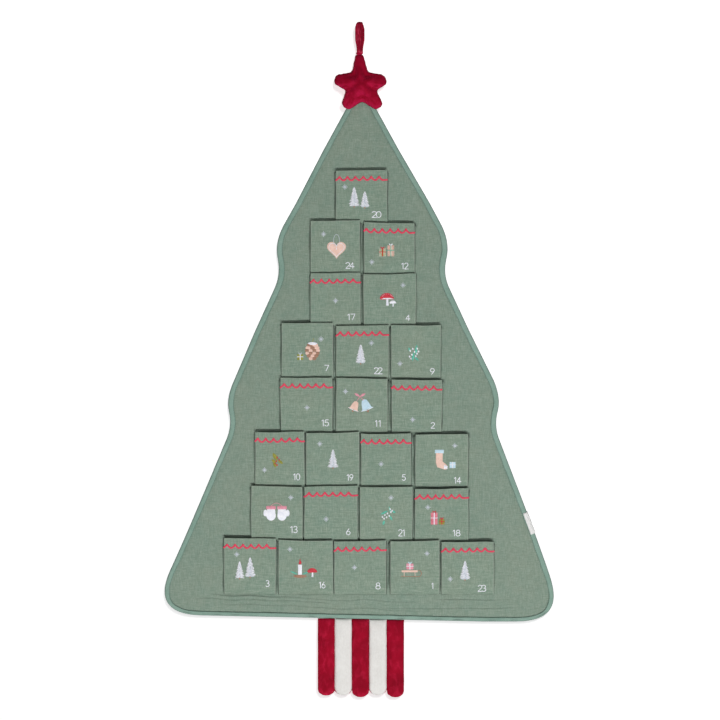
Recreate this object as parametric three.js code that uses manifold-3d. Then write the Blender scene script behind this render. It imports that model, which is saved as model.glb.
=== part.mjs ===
// Fabric advent calendar in the shape of a fir tree: a padded linen tree with twenty-four
// number pockets, a stuffed velvet star with its hanging loop, and a striped, padded trunk.
// Millimetres, +Z up, +X to the right, and the front faces -Y. The origin is the hook point,
// under the top fold of the loop.

import * as THREE from 'three';
import { mergeVertices } from 'three/addons/utils/BufferGeometryUtils.js';
import Module from 'manifold-3d';

const wasm = await Module();
wasm.setup();

// Cloth
const gap = 0.3; // clearance between two pieces that touch
const linen = 0.8; // linen of the tree, the binding and the pleats
const wadding = 4.4; // wadding inside the tree
const velvet = 1.2; // covers of the star and the trunk

// Hanging loop
const loopWidthTop = 14;
const loopWidthEnd = 9;
const loopTape = 1.8; // thickness of the doubled velvet tape
const loopOpening = 9; // clear distance between the two legs, front to back
const loopLength = 46.5; // from the hook point down to the sewn end
const loopNeck = 12; // length at the end over which the two legs lie together

// Star, with the distances of its blunt ends and pits from its middle
const starTopRadius = 48.1;
const starTopHalfWidth = 5.7;
const starSideRadius = 40.8;
const starSideAngle = 14.2;
const starSideHalfWidth = 7;
const starLegRadius = 43.4;
const starLegAngle = -51.6;
const starLegHalfWidth = 6.8;
const starPitRadius = 24.4;
const starTopPitAngle = 60;
const starSidePitAngle = -18.4;
const starTipEase = 5.8;
const starPitEase = 5;
const starFrontCrown = 15; // height of the front above the seam
const starBackCrown = 5.5;
const starEdge = 1.6; // half the thickness along the seam
const starSeat = 2.6; // how far the seam stands off the tree, where the star lies on it
const starSeatRise = 6; // above the apex, where the seam starts to go back
const starSeatSpan = 30; // height over which the seam goes back
const starHollowRise = 8; // above the apex, where the back is first free of the tree
const starHollowSpan = 20; // height over which the back fills out

// Tree, right half of the outline: half widths, with the notches between the three tiers
const apexDrop = 114; // from the hook point to the apex
const apexHalfWidth = 13.6;
const apexEase = 8;
const upperShoulderHalfWidth = 136;
const upperShoulderDrop = 223; // from the apex
const upperNotchDepth = 9.6; // from the shoulder in to the waist
const upperNotchHeight = 53; // from the shoulder down to the waist
const lowerShoulderHalfWidth = 213.6;
const lowerShoulderDrop = 465.5;
const lowerNotchDepth = 10.2;
const lowerNotchHeight = 44.5;
const shoulderEase = 31;
const waistEase = 22;
const hemHalfWidth = 323;
const hemEase = 78;
const hemMargin = 36.6; // from the feet of the lowest pockets down to the hem
const backPuff = 2; // how far the padded back stands out behind its bound rim
const puffSlope = 6; // width of the slope from the rim to the full padding

// Edge binding and woven tag
const bindingWidth = 6.6;
const bindingRound = 2.2;
const tagLength = 36;
const tagWidth = 7.2;
const tagCloth = 0.5;
const tagRise = 147; // middle of the tag above the hem

// Pockets
const pocketWidth = 81;
const pocketHeight = 84;
const pocketCloth = 1.2; // doubled linen of a pocket's front
const pocketDepth = 9; // clear depth behind a pocket's front at its mouth
const pocketFoot = 8; // flat sewn foot of a pocket
const pocketBelly = 45; // height over which a pocket comes forward
const pocketSpacing = 3.5; // gap between two pockets of a row
const firstMouthDrop = 113.5; // from the apex to the mouth of the top pocket
const upperRowPitch = 79.7;
const lowerRowPitch = 83.7;
const pleatInset = 0.4; // from a pocket's side edge in to its pleat
const pleatNotch = 7.5; // from the mouth down to a pleat's top edge at the tree
const pleatLip = 1.5; // from the mouth down to a pleat's top edge at the front

// Rows of pockets from the top: the numbers from left to right, how far the row is sewn off
// centre, and the distance from the mouths of the row above.
const rows = [
  { numbers: [20], shift: 1.2, pitch: 0 },
  { numbers: [24, 12], shift: 2.8, pitch: upperRowPitch },
  { numbers: [17, 4], shift: 3.6, pitch: upperRowPitch },
  { numbers: [7, 22, 9], shift: 0.6, pitch: upperRowPitch },
  { numbers: [15, 11, 2], shift: 0.6, pitch: lowerRowPitch },
  { numbers: [10, 19, 5, 14], shift: 1.4, pitch: lowerRowPitch },
  { numbers: [13, 6, 21, 18], shift: -1.6, pitch: lowerRowPitch },
  { numbers: [3, 16, 8, 1, 23], shift: -2.8, pitch: lowerRowPitch },
];

// Trunk
const stripCount = 5;
const stripWidth = 26.5;
const stripLength = 120;
const stripCrown = 8;
const stripSwell = 14; // length over which a strip swells to its full crown
const trunkRoll = 1.5; // radius of the rolled seam that the trunk hangs from
const waddingEdge = 0.5; // thickness of the wadding along a strip's sides
const trunkShift = 0.7; // how far the trunk is sewn off centre

// Levels and places that follow from the sizes
const treeMiddle = 2; // the tree's middle lies this far behind the hook point
const treeThickness = 2 * linen + wadding + 2 * gap;
const treeFront = treeMiddle - treeThickness / 2;
const treeBack = treeMiddle + treeThickness / 2;
const lowestMouthDrop = rows.reduce((drop, row) => drop + row.pitch, firstMouthDrop);
const treeHeight = lowestMouthDrop + pocketHeight + hemMargin;
const apexZ = -apexDrop;
const hemZ = apexZ - treeHeight;
const upperShoulderZ = apexZ - upperShoulderDrop;
const upperWaistHalfWidth = upperShoulderHalfWidth - upperNotchDepth;
const upperWaistZ = upperShoulderZ - upperNotchHeight;
const lowerShoulderZ = apexZ - lowerShoulderDrop;
const lowerWaistHalfWidth = lowerShoulderHalfWidth - lowerNotchDepth;
const lowerWaistZ = lowerShoulderZ - lowerNotchHeight;
const bindingFront = treeFront - gap - linen;
const bindingBack = treeBack + gap + linen;
const loopEndRadius = loopTape + gap / 2;
const starTipZ = -loopLength - loopEndRadius - gap;
const starZ = starTipZ - starTopRadius;
const starBackLimit = bindingFront - gap;
const trunkZ = hemZ - gap - trunkRoll;

// Steps on rounded shapes
const cornerSteps = 5;
const starCornerSteps = 3;
const rollSides = 16;
const loopTurnSteps = 8;
const loopLegSteps = 5;
const archSteps = 8;
const bellySteps = 4;
const scallopSteps = 8;
const stripEndAngles = [30, 55, 75];
const shortSideShare = 0.47; // most of a side that a rounded corner takes

function clothMaterial(color, roughness) {
  return new THREE.MeshStandardMaterial({ color, roughness, metalness: 0 });
}

const greenLinen = clothMaterial(0x84957f, 0.9);
const greenBinding = clothMaterial(0x87a893, 0.85);
const redVelvet = clothMaterial(0x9c0f2c, 0.75);
const creamRib = clothMaterial(0xe6e2dc, 0.85);
const whiteWadding = clothMaterial(0xf2f0ea, 1);
const whiteTape = clothMaterial(0xeceae4, 0.8);

const calendar = new THREE.Group();

function addPiece(name, geometry, material, x = 0, y = 0, z = 0) {
  const piece = new THREE.Mesh(geometry, material.clone());
  piece.name = name;
  piece.position.set(x, y, z);
  calendar.add(piece);
}

// A closed body from points and triangles, turned so that its faces point out.
function closedBody(points, faces) {
  const volume = faces.reduce(
    (sum, [a, b, c]) => sum + points[a].dot(points[b].clone().cross(points[c])),
    0,
  );
  const outward = volume < 0 ? faces.map(([a, b, c]) => [a, c, b]) : faces;
  const positions = points.flatMap((point) => point.toArray());
  const geometry = new THREE.BufferGeometry();
  geometry.setAttribute('position', new THREE.Float32BufferAttribute(positions, 3));
  geometry.setIndex(outward.flat());
  return geometry;
}

// Two triangles for each step between two rings of equal count. Mirrored, they part along
// the other diagonal.
function bandFaces(near, far, count, mirrored = false) {
  const faces = [];
  for (let j = 0; j < count; j += 1) {
    const next = (j + 1) % count;
    if (mirrored) {
      faces.push([near + j, near + next, far + j], [near + next, far + next, far + j]);
    } else {
      faces.push([near + j, near + next, far + next], [near + j, far + next, far + j]);
    }
  }
  return faces;
}

// A body through rings of points. A ring is an outer run and an inner run back, equally long,
// so that a strip between the two runs closes an end. A closed loft has no ends.
function loft(rings, closed = false) {
  const count = rings[0].length;
  const faces = [];
  for (let i = 1; i < rings.length; i += 1) {
    faces.push(...bandFaces((i - 1) * count, i * count, count));
  }
  const last = (rings.length - 1) * count;
  if (closed) {
    faces.push(...bandFaces(last, 0, count));
    return closedBody(rings.flat(), faces);
  }
  for (let j = 0; j < count / 2 - 1; j += 1) {
    const back = count - 1 - j;
    faces.push([j, back, back - 1], [j, back - 1, j + 1]);
    faces.push([last + j, last + back - 1, last + back], [last + j, last + j + 1, last + back - 1]);
  }
  return closedBody(rings.flat(), faces);
}

// A body through rings that closes in a point before the first ring and after the last. Its
// two halves part along like diagonals, so that one surface follows another at one distance.
function pointedLoft(firstPoint, rings, lastPoint) {
  const count = rings[0].length;
  const faces = [];
  for (let i = 1; i < rings.length; i += 1) {
    faces.push(...bandFaces((i - 1) * count, i * count, count, i > rings.length / 2));
  }
  const last = (rings.length - 1) * count;
  const first = rings.length * count;
  for (let j = 0; j < count; j += 1) {
    const next = (j + 1) % count;
    faces.push([first, next, j], [first + 1, last + j, last + next]);
  }
  return closedBody([...rings.flat(), firstPoint, lastPoint], faces);
}

// A body through rings of points, each of them level, whose first and last ring are closed
// over by a flat face.
function cappedLoft(rings) {
  const count = rings[0].length;
  const last = (rings.length - 1) * count;
  const faces = [];
  for (let i = 1; i < rings.length; i += 1) {
    faces.push(...bandFaces((i - 1) * count, i * count, count));
  }
  const [firstCap, lastCap] = [rings[0], rings.at(-1)].map((ring) =>
    THREE.ShapeUtils.triangulateShape(ring.map((point) => new THREE.Vector2(point.x, point.z)), []),
  );
  faces.push(...firstCap);
  faces.push(...lastCap.map(([a, b, c]) => [last + a, last + c, last + b]));
  return closedBody(rings.flat(), faces);
}

// An outline through corners [x, z, ease], each rounded over its ease along both sides, or
// over just less than half of a side that is too short for it.
function roundedOutline(corners, steps) {
  return corners.flatMap(([x, z, ease], i) => {
    const corner = new THREE.Vector2(x, z);
    const [start, end] = [corners.at(i - 1), corners[(i + 1) % corners.length]].map((other) => {
      const side = new THREE.Vector2(other[0], other[1]).sub(corner);
      return side.setLength(Math.min(ease, side.length() * shortSideShare)).add(corner);
    });
    return new THREE.QuadraticBezierCurve(start, corner, end).getPoints(steps);
  });
}

// Inwards from an outline that runs clockwise, seen from the front.
function inwards(along) {
  return new THREE.Vector2(along.y, -along.x).normalize();
}

// Corners of an outline, each moved in by a distance from both its sides.
function insetCorners(corners, distance) {
  return corners.map(([x, z, ease], i) => {
    const corner = new THREE.Vector2(x, z);
    const [beforeX, beforeZ] = corners.at(i - 1);
    const [afterX, afterZ] = corners[(i + 1) % corners.length];
    const first = inwards(new THREE.Vector2(x - beforeX, z - beforeZ));
    const second = inwards(new THREE.Vector2(afterX - x, afterZ - z));
    const mitre = first.clone().add(second).multiplyScalar(distance / (1 + first.dot(second)));
    return [...corner.add(mitre).toArray(), ease];
  });
}

function inset(outline, distance) {
  return outline.map((point, i) => {
    const along = outline[(i + 1) % outline.length].clone().sub(outline.at(i - 1));
    return inwards(along).multiplyScalar(distance).add(point);
  });
}

// A flat cloth with an outline in x and z, from its back level towards the front.
function flatCloth(outline, back, thickness) {
  const settings = { depth: thickness, bevelEnabled: false };
  const geometry = new THREE.ExtrudeGeometry(new THREE.Shape(outline), settings);
  return geometry.rotateX(Math.PI / 2).translate(0, back, 0);
}

// A profile of [y, z] points, drawn out to the right.
function drawnProfile(profile, width) {
  const points = profile.map(([y, z]) => new THREE.Vector2(y, z));
  const settings = { depth: width, bevelEnabled: false };
  const geometry = new THREE.ExtrudeGeometry(new THREE.Shape(points), settings);
  const yAxis = new THREE.Vector3(0, 1, 0);
  const zAxis = new THREE.Vector3(0, 0, 1);
  const xAxis = new THREE.Vector3(1, 0, 0);
  return geometry.applyMatrix4(new THREE.Matrix4().makeBasis(yAxis, zAxis, xAxis));
}

// A roll of cloth along x, with its middle at the given place.
function roll(radius, length, x, y, z) {
  const geometry = new THREE.CylinderGeometry(radius, radius, length, rollSides);
  return geometry.rotateZ(Math.PI / 2).translate(x, y, z);
}

function toManifold(geometry) {
  const bare = geometry.clone();
  bare.deleteAttribute('normal');
  bare.deleteAttribute('uv');
  const merged = mergeVertices(bare);
  const mesh = new wasm.Mesh({
    numProp: 3,
    vertProperties: merged.attributes.position.array,
    triVerts: new Uint32Array(merged.index.array),
  });
  return new wasm.Manifold(mesh);
}

function sewnTogether(first, second) {
  const mesh = toManifold(first).add(toManifold(second)).getMesh();
  const geometry = new THREE.BufferGeometry();
  geometry.setAttribute('position', new THREE.BufferAttribute(mesh.vertProperties, 3));
  geometry.setIndex(new THREE.BufferAttribute(mesh.triVerts, 1));
  return geometry;
}

// Loop: one doubled tape that runs up, over the hook point and down again, with its two ends
// sewn into a small roll, around which the tree swings.

function hangingLoop() {
  const turnRadius = (loopOpening + loopTape) / 2;
  const turnZ = -loopOpening / 2;
  const neckY = (loopTape + gap) / 2;
  const neckTopZ = -loopLength + loopNeck;
  const leg = [new THREE.Vector2(neckY, -loopLength)];
  for (let i = 0; i < loopLegSteps; i += 1) {
    const share = i / loopLegSteps;
    const spread = THREE.MathUtils.smootherstep(share, 0, 1);
    const y = THREE.MathUtils.lerp(neckY, turnRadius, spread);
    leg.push(new THREE.Vector2(y, THREE.MathUtils.lerp(neckTopZ, turnZ, share)));
  }
  const turn = Array.from({ length: loopTurnSteps + 1 }, (_, i) => {
    const angle = (Math.PI * i) / loopTurnSteps;
    return new THREE.Vector2(turnRadius * Math.cos(angle), turnZ + turnRadius * Math.sin(angle));
  });
  const otherLeg = leg.map((point) => new THREE.Vector2(-point.x, point.y)).reverse();
  const path = [...leg, ...turn, ...otherLeg];

  const rings = path.map((point, i) => {
    const before = path[Math.max(i - 1, 0)];
    const after = path[Math.min(i + 1, path.length - 1)];
    const out = inwards(after.clone().sub(before)).multiplyScalar(loopTape / 2);
    const share = THREE.MathUtils.clamp(-point.y / loopLength, 0, 1);
    const half = THREE.MathUtils.lerp(loopWidthTop, loopWidthEnd, share) / 2;
    return [
      new THREE.Vector3(-half, point.x + out.x, point.y + out.y),
      new THREE.Vector3(half, point.x + out.x, point.y + out.y),
      new THREE.Vector3(half, point.x - out.x, point.y - out.y),
      new THREE.Vector3(-half, point.x - out.x, point.y - out.y),
    ];
  });
  return sewnTogether(loft(rings), roll(loopEndRadius, loopWidthEnd, 0, 0, -loopLength));
}

addPiece('hanging_loop', hangingLoop(), redVelvet);

// Star: two velvet halves around a stuffing. The seam comes forward below, where the star
// lies on the tree's apex.

function polar(reach, degrees, ease) {
  const angle = THREE.MathUtils.degToRad(degrees);
  return [reach * Math.cos(angle), reach * Math.sin(angle), ease];
}

// Both corners of an arm's blunt end, going round clockwise.
function bluntEnd(reach, degrees, halfWidth) {
  const [x, z] = polar(reach, degrees);
  const [across, up] = polar(halfWidth, degrees + 90);
  return [1, -1].map((side) => [x + side * across, z + side * up, starTipEase]);
}

const rightStarCorners = [
  [starTopHalfWidth, starTopRadius, starTopHalfWidth / 2],
  polar(starPitRadius, starTopPitAngle, starPitEase),
  ...bluntEnd(starSideRadius, starSideAngle, starSideHalfWidth),
  polar(starPitRadius, starSidePitAngle, starPitEase),
  ...bluntEnd(starLegRadius, starLegAngle, starLegHalfWidth),
];
const leftStarCorners = rightStarCorners.map(([x, z, ease]) => [-x, z, ease]).reverse();
const starNotch = [0, -starPitRadius, starPitEase];
const starCorners = [...rightStarCorners, starNotch, ...leftStarCorners];
const starOutline = roundedOutline(starCorners, starCornerSteps);
const starShares = [1, 0.88, 0.66, 0.36]; // rings of a half, as shares of the outline

function starSeam(z) {
  const seatTop = apexZ + starSeatRise;
  const forward = 1 - THREE.MathUtils.smoothstep(z, seatTop, seatTop + starSeatSpan);
  return (starBackLimit - starSeat) * forward;
}

function starDome(share) {
  return Math.sqrt(1 - share * share);
}

function starFrontLevel(share, z, depth) {
  return starSeam(z) - starEdge - (starFrontCrown - starEdge) * starDome(share) + depth;
}

function starBackLevel(share, z, depth) {
  const free = starSeam(z) + starEdge + (starBackCrown - starEdge) * starDome(share);
  const hollowTop = apexZ + starHollowRise;
  const lift = THREE.MathUtils.smoothstep(z, hollowTop, hollowTop + starHollowSpan);
  return Math.min(free, starBackLimit + (bindingBack - starBackLimit) * lift) - depth;
}

// A ring of one of the star's surfaces, a depth below its outside.
function starRing(share, depth, level) {
  const shrink = 1 - depth / starPitRadius;
  return starOutline.map((point) => {
    const x = point.x * share;
    const z = point.y * share;
    return new THREE.Vector3(x * shrink, level(share, starZ + z, depth), starZ + z * shrink);
  });
}

function starHalf(level, side) {
  const seam = (share, z) => starSeam(z) + (side * gap) / 2;
  const innerShares = [...starShares].reverse();
  const rings = [
    ...innerShares.map((share) => starRing(share, velvet, level)),
    starRing(1, velvet, seam),
    starRing(1, 0, seam),
    ...starShares.map((share) => starRing(share, 0, level)),
  ];
  const inner = new THREE.Vector3(0, level(0, starZ, velvet), starZ);
  const outer = new THREE.Vector3(0, level(0, starZ, 0), starZ);
  return pointedLoft(inner, rings, outer);
}

function starStuffing() {
  const depth = velvet + gap;
  const shares = starShares.slice(1);
  const rings = [
    ...[...shares].reverse().map((share) => starRing(share, depth, starFrontLevel)),
    starRing(1, depth, (share, z) => starSeam(z)),
    ...shares.map((share) => starRing(share, depth, starBackLevel)),
  ];
  const front = new THREE.Vector3(0, starFrontLevel(0, starZ, depth), starZ);
  const back = new THREE.Vector3(0, starBackLevel(0, starZ, depth), starZ);
  return pointedLoft(front, rings, back);
}

addPiece('star_front', starHalf(starFrontLevel, -1), redVelvet);
addPiece('star_back', starHalf(starBackLevel, 1), redVelvet);
addPiece('star_filling', starStuffing(), whiteWadding);

// Tree: front and back linen around the wadding, with a folded binding around the edge.

const rightTreeCorners = [
  [apexHalfWidth, apexZ, apexEase],
  [upperShoulderHalfWidth, upperShoulderZ, shoulderEase],
  [upperWaistHalfWidth, upperWaistZ, waistEase],
  [lowerShoulderHalfWidth, lowerShoulderZ, shoulderEase],
  [lowerWaistHalfWidth, lowerWaistZ, waistEase],
  [hemHalfWidth, hemZ, hemEase],
];
const leftTreeCorners = rightTreeCorners.map(([x, z, ease]) => [-x, z, ease]).reverse();
const treeCorners = [...rightTreeCorners, ...leftTreeCorners];
const treeOutline = roundedOutline(treeCorners, cornerSteps);
const clothOutline = inset(treeOutline, bindingRound + 2 * gap);

// Rings of a padded back, from its rim to its full padding, with the rim at a level.
function puffedRings(rimLevel) {
  const slopeStart = bindingWidth + 2 * gap;
  const slopeOutline = roundedOutline(insetCorners(treeCorners, slopeStart), cornerSteps);
  const fullCorners = insetCorners(treeCorners, slopeStart + puffSlope);
  return [
    clothOutline.map((point) => new THREE.Vector3(point.x, rimLevel, point.y)),
    slopeOutline.map((point) => new THREE.Vector3(point.x, rimLevel, point.y)),
    roundedOutline(fullCorners, cornerSteps).map(
      (point) => new THREE.Vector3(point.x, rimLevel + backPuff, point.y),
    ),
  ];
}

const waddingFront = treeFront + linen + gap;
const waddingRim = clothOutline.map((point) => new THREE.Vector3(point.x, waddingFront, point.y));
const treeWadding = cappedLoft([waddingRim, ...puffedRings(waddingFront + wadding)]);
const insideOfBack = puffedRings(treeBack - linen).reverse();
const treeBackCloth = cappedLoft([...insideOfBack, ...puffedRings(treeBack)]);

addPiece('tree_front_fabric', flatCloth(clothOutline, treeFront + linen, linen), greenLinen);
addPiece('tree_wadding', treeWadding, whiteWadding);
addPiece('tree_back_fabric', treeBackCloth, greenLinen);

// Section of a cloth folded over an edge: [distance in from the fold, level in y].
function foldSection(front, back, width, cloth) {
  const round = bindingRound;
  return [
    [width, front],
    [round, front],
    [0, front + round],
    [0, back - round],
    [round, back],
    [width, back],
    [width, back - cloth],
    [round, back - cloth],
    [cloth, back - round],
    [cloth, front + round],
    [round, front + cloth],
    [width, front + cloth],
  ];
}

const bindingSection = foldSection(bindingFront, bindingBack, bindingWidth, linen);
const bindingLines = bindingSection.map(([distance]) => inset(treeOutline, distance));
const bindingRings = treeOutline.map((_, i) =>
  bindingSection.map(([, y], j) => {
    const { x, y: z } = bindingLines[j][i];
    return new THREE.Vector3(x, y, z);
  }),
);
addPiece('edge_binding', loft(bindingRings, true), greenBinding);

// Tag: a short woven tape folded over the binding, low on the right side.

function sideTag() {
  const stand = gap + tagCloth;
  const tagSection = foldSection(bindingFront - stand, bindingBack + stand, tagWidth, tagCloth);
  const waist = new THREE.Vector2(lowerWaistHalfWidth, lowerWaistZ);
  const hem = new THREE.Vector2(hemHalfWidth, hemZ);
  const middle = hem.clone().lerp(waist, tagRise / (lowerWaistZ - hemZ));
  const along = hem.clone().sub(waist).normalize();
  const inward = inwards(along);
  const rings = [-tagLength / 2, tagLength / 2].map((place) =>
    tagSection.map(([distance, y]) => {
      const point = middle.clone().addScaledVector(along, place);
      point.addScaledVector(inward, distance - stand);
      return new THREE.Vector3(point.x, y, point.y);
    }),
  );
  return loft(rings);
}

addPiece('side_tag', sideTag(), whiteTape);

// Pockets: each front is sewn down along its foot, comes forward over its belly and stands
// open at its mouth. A pleat closes each side, between the front and the tree.

function pocketLevel(height) {
  const share = THREE.MathUtils.clamp((height - pocketFoot) / pocketBelly, 0, 1);
  return gap + pocketDepth * Math.sin((Math.PI / 2) * share);
}

const bellyHeights = Array.from(
  { length: bellySteps },
  (_, i) => pocketFoot + (pocketBelly * (i + 1)) / bellySteps,
);

function pocketFront() {
  const heights = [0, pocketFoot, ...bellyHeights, pocketHeight];
  const inner = heights.map((height) => [-pocketLevel(height), height]);
  const outer = heights.map((height) => [-pocketLevel(height) - pocketCloth, height]);
  return drawnProfile([...inner, ...outer.reverse()], pocketWidth);
}

// A pleat, with its front edge sewn into the middle of the pocket's front.
function pocketPleat(left) {
  const heights = [pocketFoot, ...bellyHeights, pocketHeight - pleatLip];
  const front = heights.map((height) => [-pocketLevel(height) - pocketCloth / 2, height]);
  const back = [[-gap, pocketHeight - pleatNotch], [-gap, pocketFoot]];
  return drawnProfile([...front, ...back], linen).translate(left, 0, 0);
}

const pocketRight = pocketWidth - pleatInset - linen;
const pocketWithLeft = sewnTogether(pocketFront(), pocketPleat(pleatInset));
const pocketShape = sewnTogether(pocketWithLeft, pocketPleat(pocketRight));
let mouthZ = apexZ - firstMouthDrop;

rows.forEach(({ numbers, shift, pitch }) => {
  mouthZ -= pitch;
  const step = pocketWidth + pocketSpacing;
  const left = shift - (numbers.length * step - pocketSpacing) / 2;
  numbers.forEach((number, i) => {
    const name = `pocket_${String(number).padStart(2, '0')}`;
    addPiece(name, pocketShape, greenLinen, left + i * step, treeFront, mouthZ - pocketHeight);
  });
});

// Trunk: padded strips side by side on a velvet back, which hangs from a rolled seam.

const stripTopZ = trunkZ - trunkRoll - gap;
const stripEndZ = trunkZ - stripLength;
const stripBack = treeMiddle;
const stripRadius = stripWidth / 2;
const trunkWidth = stripCount * stripWidth;
const stripMiddles = Array.from(
  { length: stripCount },
  (_, i) => trunkShift + (i - (stripCount - 1) / 2) * stripWidth,
);

// Stations down a strip: level, half width and crown.
function stripStations() {
  const arcZ = stripEndZ + stripRadius;
  const half = stripRadius - gap / 2;
  const swell = [
    [stripTopZ, half, trunkRoll],
    [stripTopZ - stripSwell / 2, half, (trunkRoll + stripCrown) / 2],
    [stripTopZ - stripSwell, half, stripCrown],
    [arcZ, half, stripCrown],
  ];
  const end = stripEndAngles.map((degrees) => {
    const angle = THREE.MathUtils.degToRad(degrees);
    const narrow = Math.cos(angle);
    return [arcZ - half * Math.sin(angle), half * narrow, stripCrown * Math.sqrt(narrow)];
  });
  return [...swell, ...end];
}

// An arch over a strip's back, from left to right, a depth below its outside.
function stripArch([z, half, crown], middle, depth) {
  return Array.from({ length: archSteps + 1 }, (_, i) => {
    const angle = (Math.PI * i) / archSteps;
    const x = middle - (half - depth) * Math.cos(angle);
    const rise = (crown - depth) * Math.sqrt(Math.max(Math.sin(angle), 0));
    return new THREE.Vector3(x, stripBack - rise, z);
  });
}

function stripCover(middle) {
  const rings = stripStations().map((station) => {
    const inside = stripArch(station, middle, velvet).reverse();
    return [...stripArch(station, middle, 0), ...inside];
  });
  return loft(rings);
}

function stripWadding(middle) {
  const rings = stripStations().slice(1).map((station) => {
    const arch = stripArch(station, middle, velvet + 2 * gap);
    const back = arch.map((point) => point.clone().setY(stripBack)).reverse();
    arch.forEach((point) => point.setY(Math.min(point.y, stripBack - waddingEdge)));
    return [...arch, ...back];
  });
  return loft(rings);
}

// The back cloth ends in one half-round scallop below each strip.
function trunkBack() {
  const right = trunkShift + trunkWidth / 2;
  const left = trunkShift - trunkWidth / 2;
  const scallops = stripMiddles.flatMap((middle) =>
    Array.from({ length: scallopSteps + 1 }, (_, i) => {
      const angle = (Math.PI * i) / scallopSteps;
      const x = middle - stripRadius * Math.cos(angle);
      const z = stripEndZ + stripRadius * (1 - Math.sin(angle));
      return new THREE.Vector2(x, z);
    }).slice(0, -1),
  );
  const corner = new THREE.Vector2(right, stripEndZ + stripRadius);
  const top = [new THREE.Vector2(right, trunkZ), new THREE.Vector2(left, trunkZ)];
  const cloth = flatCloth([...scallops, corner, ...top], treeMiddle + gap + velvet, velvet);
  return sewnTogether(cloth, roll(trunkRoll, trunkWidth, trunkShift, treeMiddle, trunkZ));
}

stripMiddles.forEach((middle, i) => {
  const cloth = i % 2 ? creamRib : redVelvet;
  addPiece(`trunk_strip_${i + 1}`, stripCover(middle), cloth);
  addPiece(`trunk_wadding_${i + 1}`, stripWadding(middle), whiteWadding);
});
addPiece('trunk_back', trunkBack(), redVelvet);

export default calendar;
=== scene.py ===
# Fabric advent calendar: a padded linen fir tree with twenty-four number pockets, a stuffed
# velvet star with its hanging loop, and a trunk of padded strips, built around the packed
# frame. Metres, +Z up, +X to the right; the front faces -Y and the origin is the hook point.

import math

import bmesh
import bpy
import numpy as np
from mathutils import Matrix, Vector
from mathutils.bvhtree import BVHTree


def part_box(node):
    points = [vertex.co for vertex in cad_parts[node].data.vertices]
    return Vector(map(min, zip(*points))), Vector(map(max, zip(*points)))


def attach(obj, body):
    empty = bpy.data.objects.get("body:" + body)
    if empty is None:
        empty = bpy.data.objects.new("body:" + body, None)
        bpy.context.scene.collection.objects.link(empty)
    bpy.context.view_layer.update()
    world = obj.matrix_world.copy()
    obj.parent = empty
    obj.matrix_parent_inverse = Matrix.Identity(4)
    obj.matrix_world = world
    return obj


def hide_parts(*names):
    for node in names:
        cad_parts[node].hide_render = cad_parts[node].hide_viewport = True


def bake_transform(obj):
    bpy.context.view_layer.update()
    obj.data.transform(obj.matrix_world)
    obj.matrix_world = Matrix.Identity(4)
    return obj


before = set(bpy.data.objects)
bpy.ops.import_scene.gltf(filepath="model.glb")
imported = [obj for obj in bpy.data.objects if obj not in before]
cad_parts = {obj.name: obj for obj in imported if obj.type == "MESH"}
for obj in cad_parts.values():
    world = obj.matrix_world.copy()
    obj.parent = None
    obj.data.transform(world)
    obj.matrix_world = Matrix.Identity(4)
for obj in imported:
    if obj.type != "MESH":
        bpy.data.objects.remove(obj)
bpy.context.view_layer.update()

MM = 0.001

# Photograph and camera
PHOTO_SIDE = 720
PIXEL = 1.55 * MM  # one pixel of the photograph, at the hook point's depth
HOOK_PIXEL = (360.8, 23.5)
CAMERA_AWAY = 2.2
SENSOR = 36.0
CAMERA_X = (PHOTO_SIDE / 2 - HOOK_PIXEL[0]) * PIXEL
CAMERA_Z = (HOOK_PIXEL[1] - PHOTO_SIDE / 2) * PIXEL

# Thickness of each cloth, and the gap between two of them
GAP = 0.3 * MM
LINEN = 0.8 * MM
VELVET = 1.2 * MM
POCKET_CLOTH = 1.2 * MM

# Tree: half width, drop below the apex and ease of each corner of its right side, in mm
TREE_SIDE = (
    (13.6, 0, 8), (136, 223, 31), (126.4, 276, 22),
    (213.6, 465.5, 31), (203.4, 510, 22), (323, 808, 78),
)
APEX_DROP = 114 * MM
OUTLINE_STEP = 3 * MM
CLOTH_INSET = 2.8 * MM  # from the binding's fold to the linen's edge
EDGE_SLOPE = 0.91  # cosine of the tree's side edges
TREE_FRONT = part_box("tree_front_fabric")[0].y
TREE_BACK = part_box("tree_back_fabric")[1].y
BINDING_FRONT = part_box("edge_binding")[0].y
BINDING_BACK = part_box("edge_binding")[1].y
BINDING_MIDDLE = (BINDING_FRONT + BINDING_BACK) / 2
BINDING_DEEP = (BINDING_BACK - BINDING_FRONT) / 2
BINDING_STITCHES_IN = 8.1 * MM

# How far the cloth hangs to the right at drops from the hook, in pixels of the photograph
DRIFT_AT = (100, 150, 204, 270, 330, 380, 430, 500, 560, 600, 625)
DRIFT_BY = (0.3, 0.4, 2.1, 1.1, 1.4, 3.1, 2.2, 0.8, -0.6, -1.8, -2.6)
HEM_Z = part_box("edge_binding")[0].z
HEM_TILT = 0.0219  # fall of the hem towards the right
HEM_FALL = 1.0 * MM
HEM_FALL_MOST = 5.2 * MM
HEM_REACH = 150 * MM

# Soft creases of the front linen: from and to, in pixels of the photograph, and depth in mm
CREASES = (
    (214, 597, 300, 598.5, 1.5),
    (196, 601, 330, 602.5, 0.9),
    (225, 606, 420, 609, 0.8),
    (300, 599, 420, 600.5, 0.7),
    (380, 607, 520, 605, 0.8),
    (440, 597.5, 500, 597, 1.2),
)
CREASE_ROWS = (595, 612)

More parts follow.
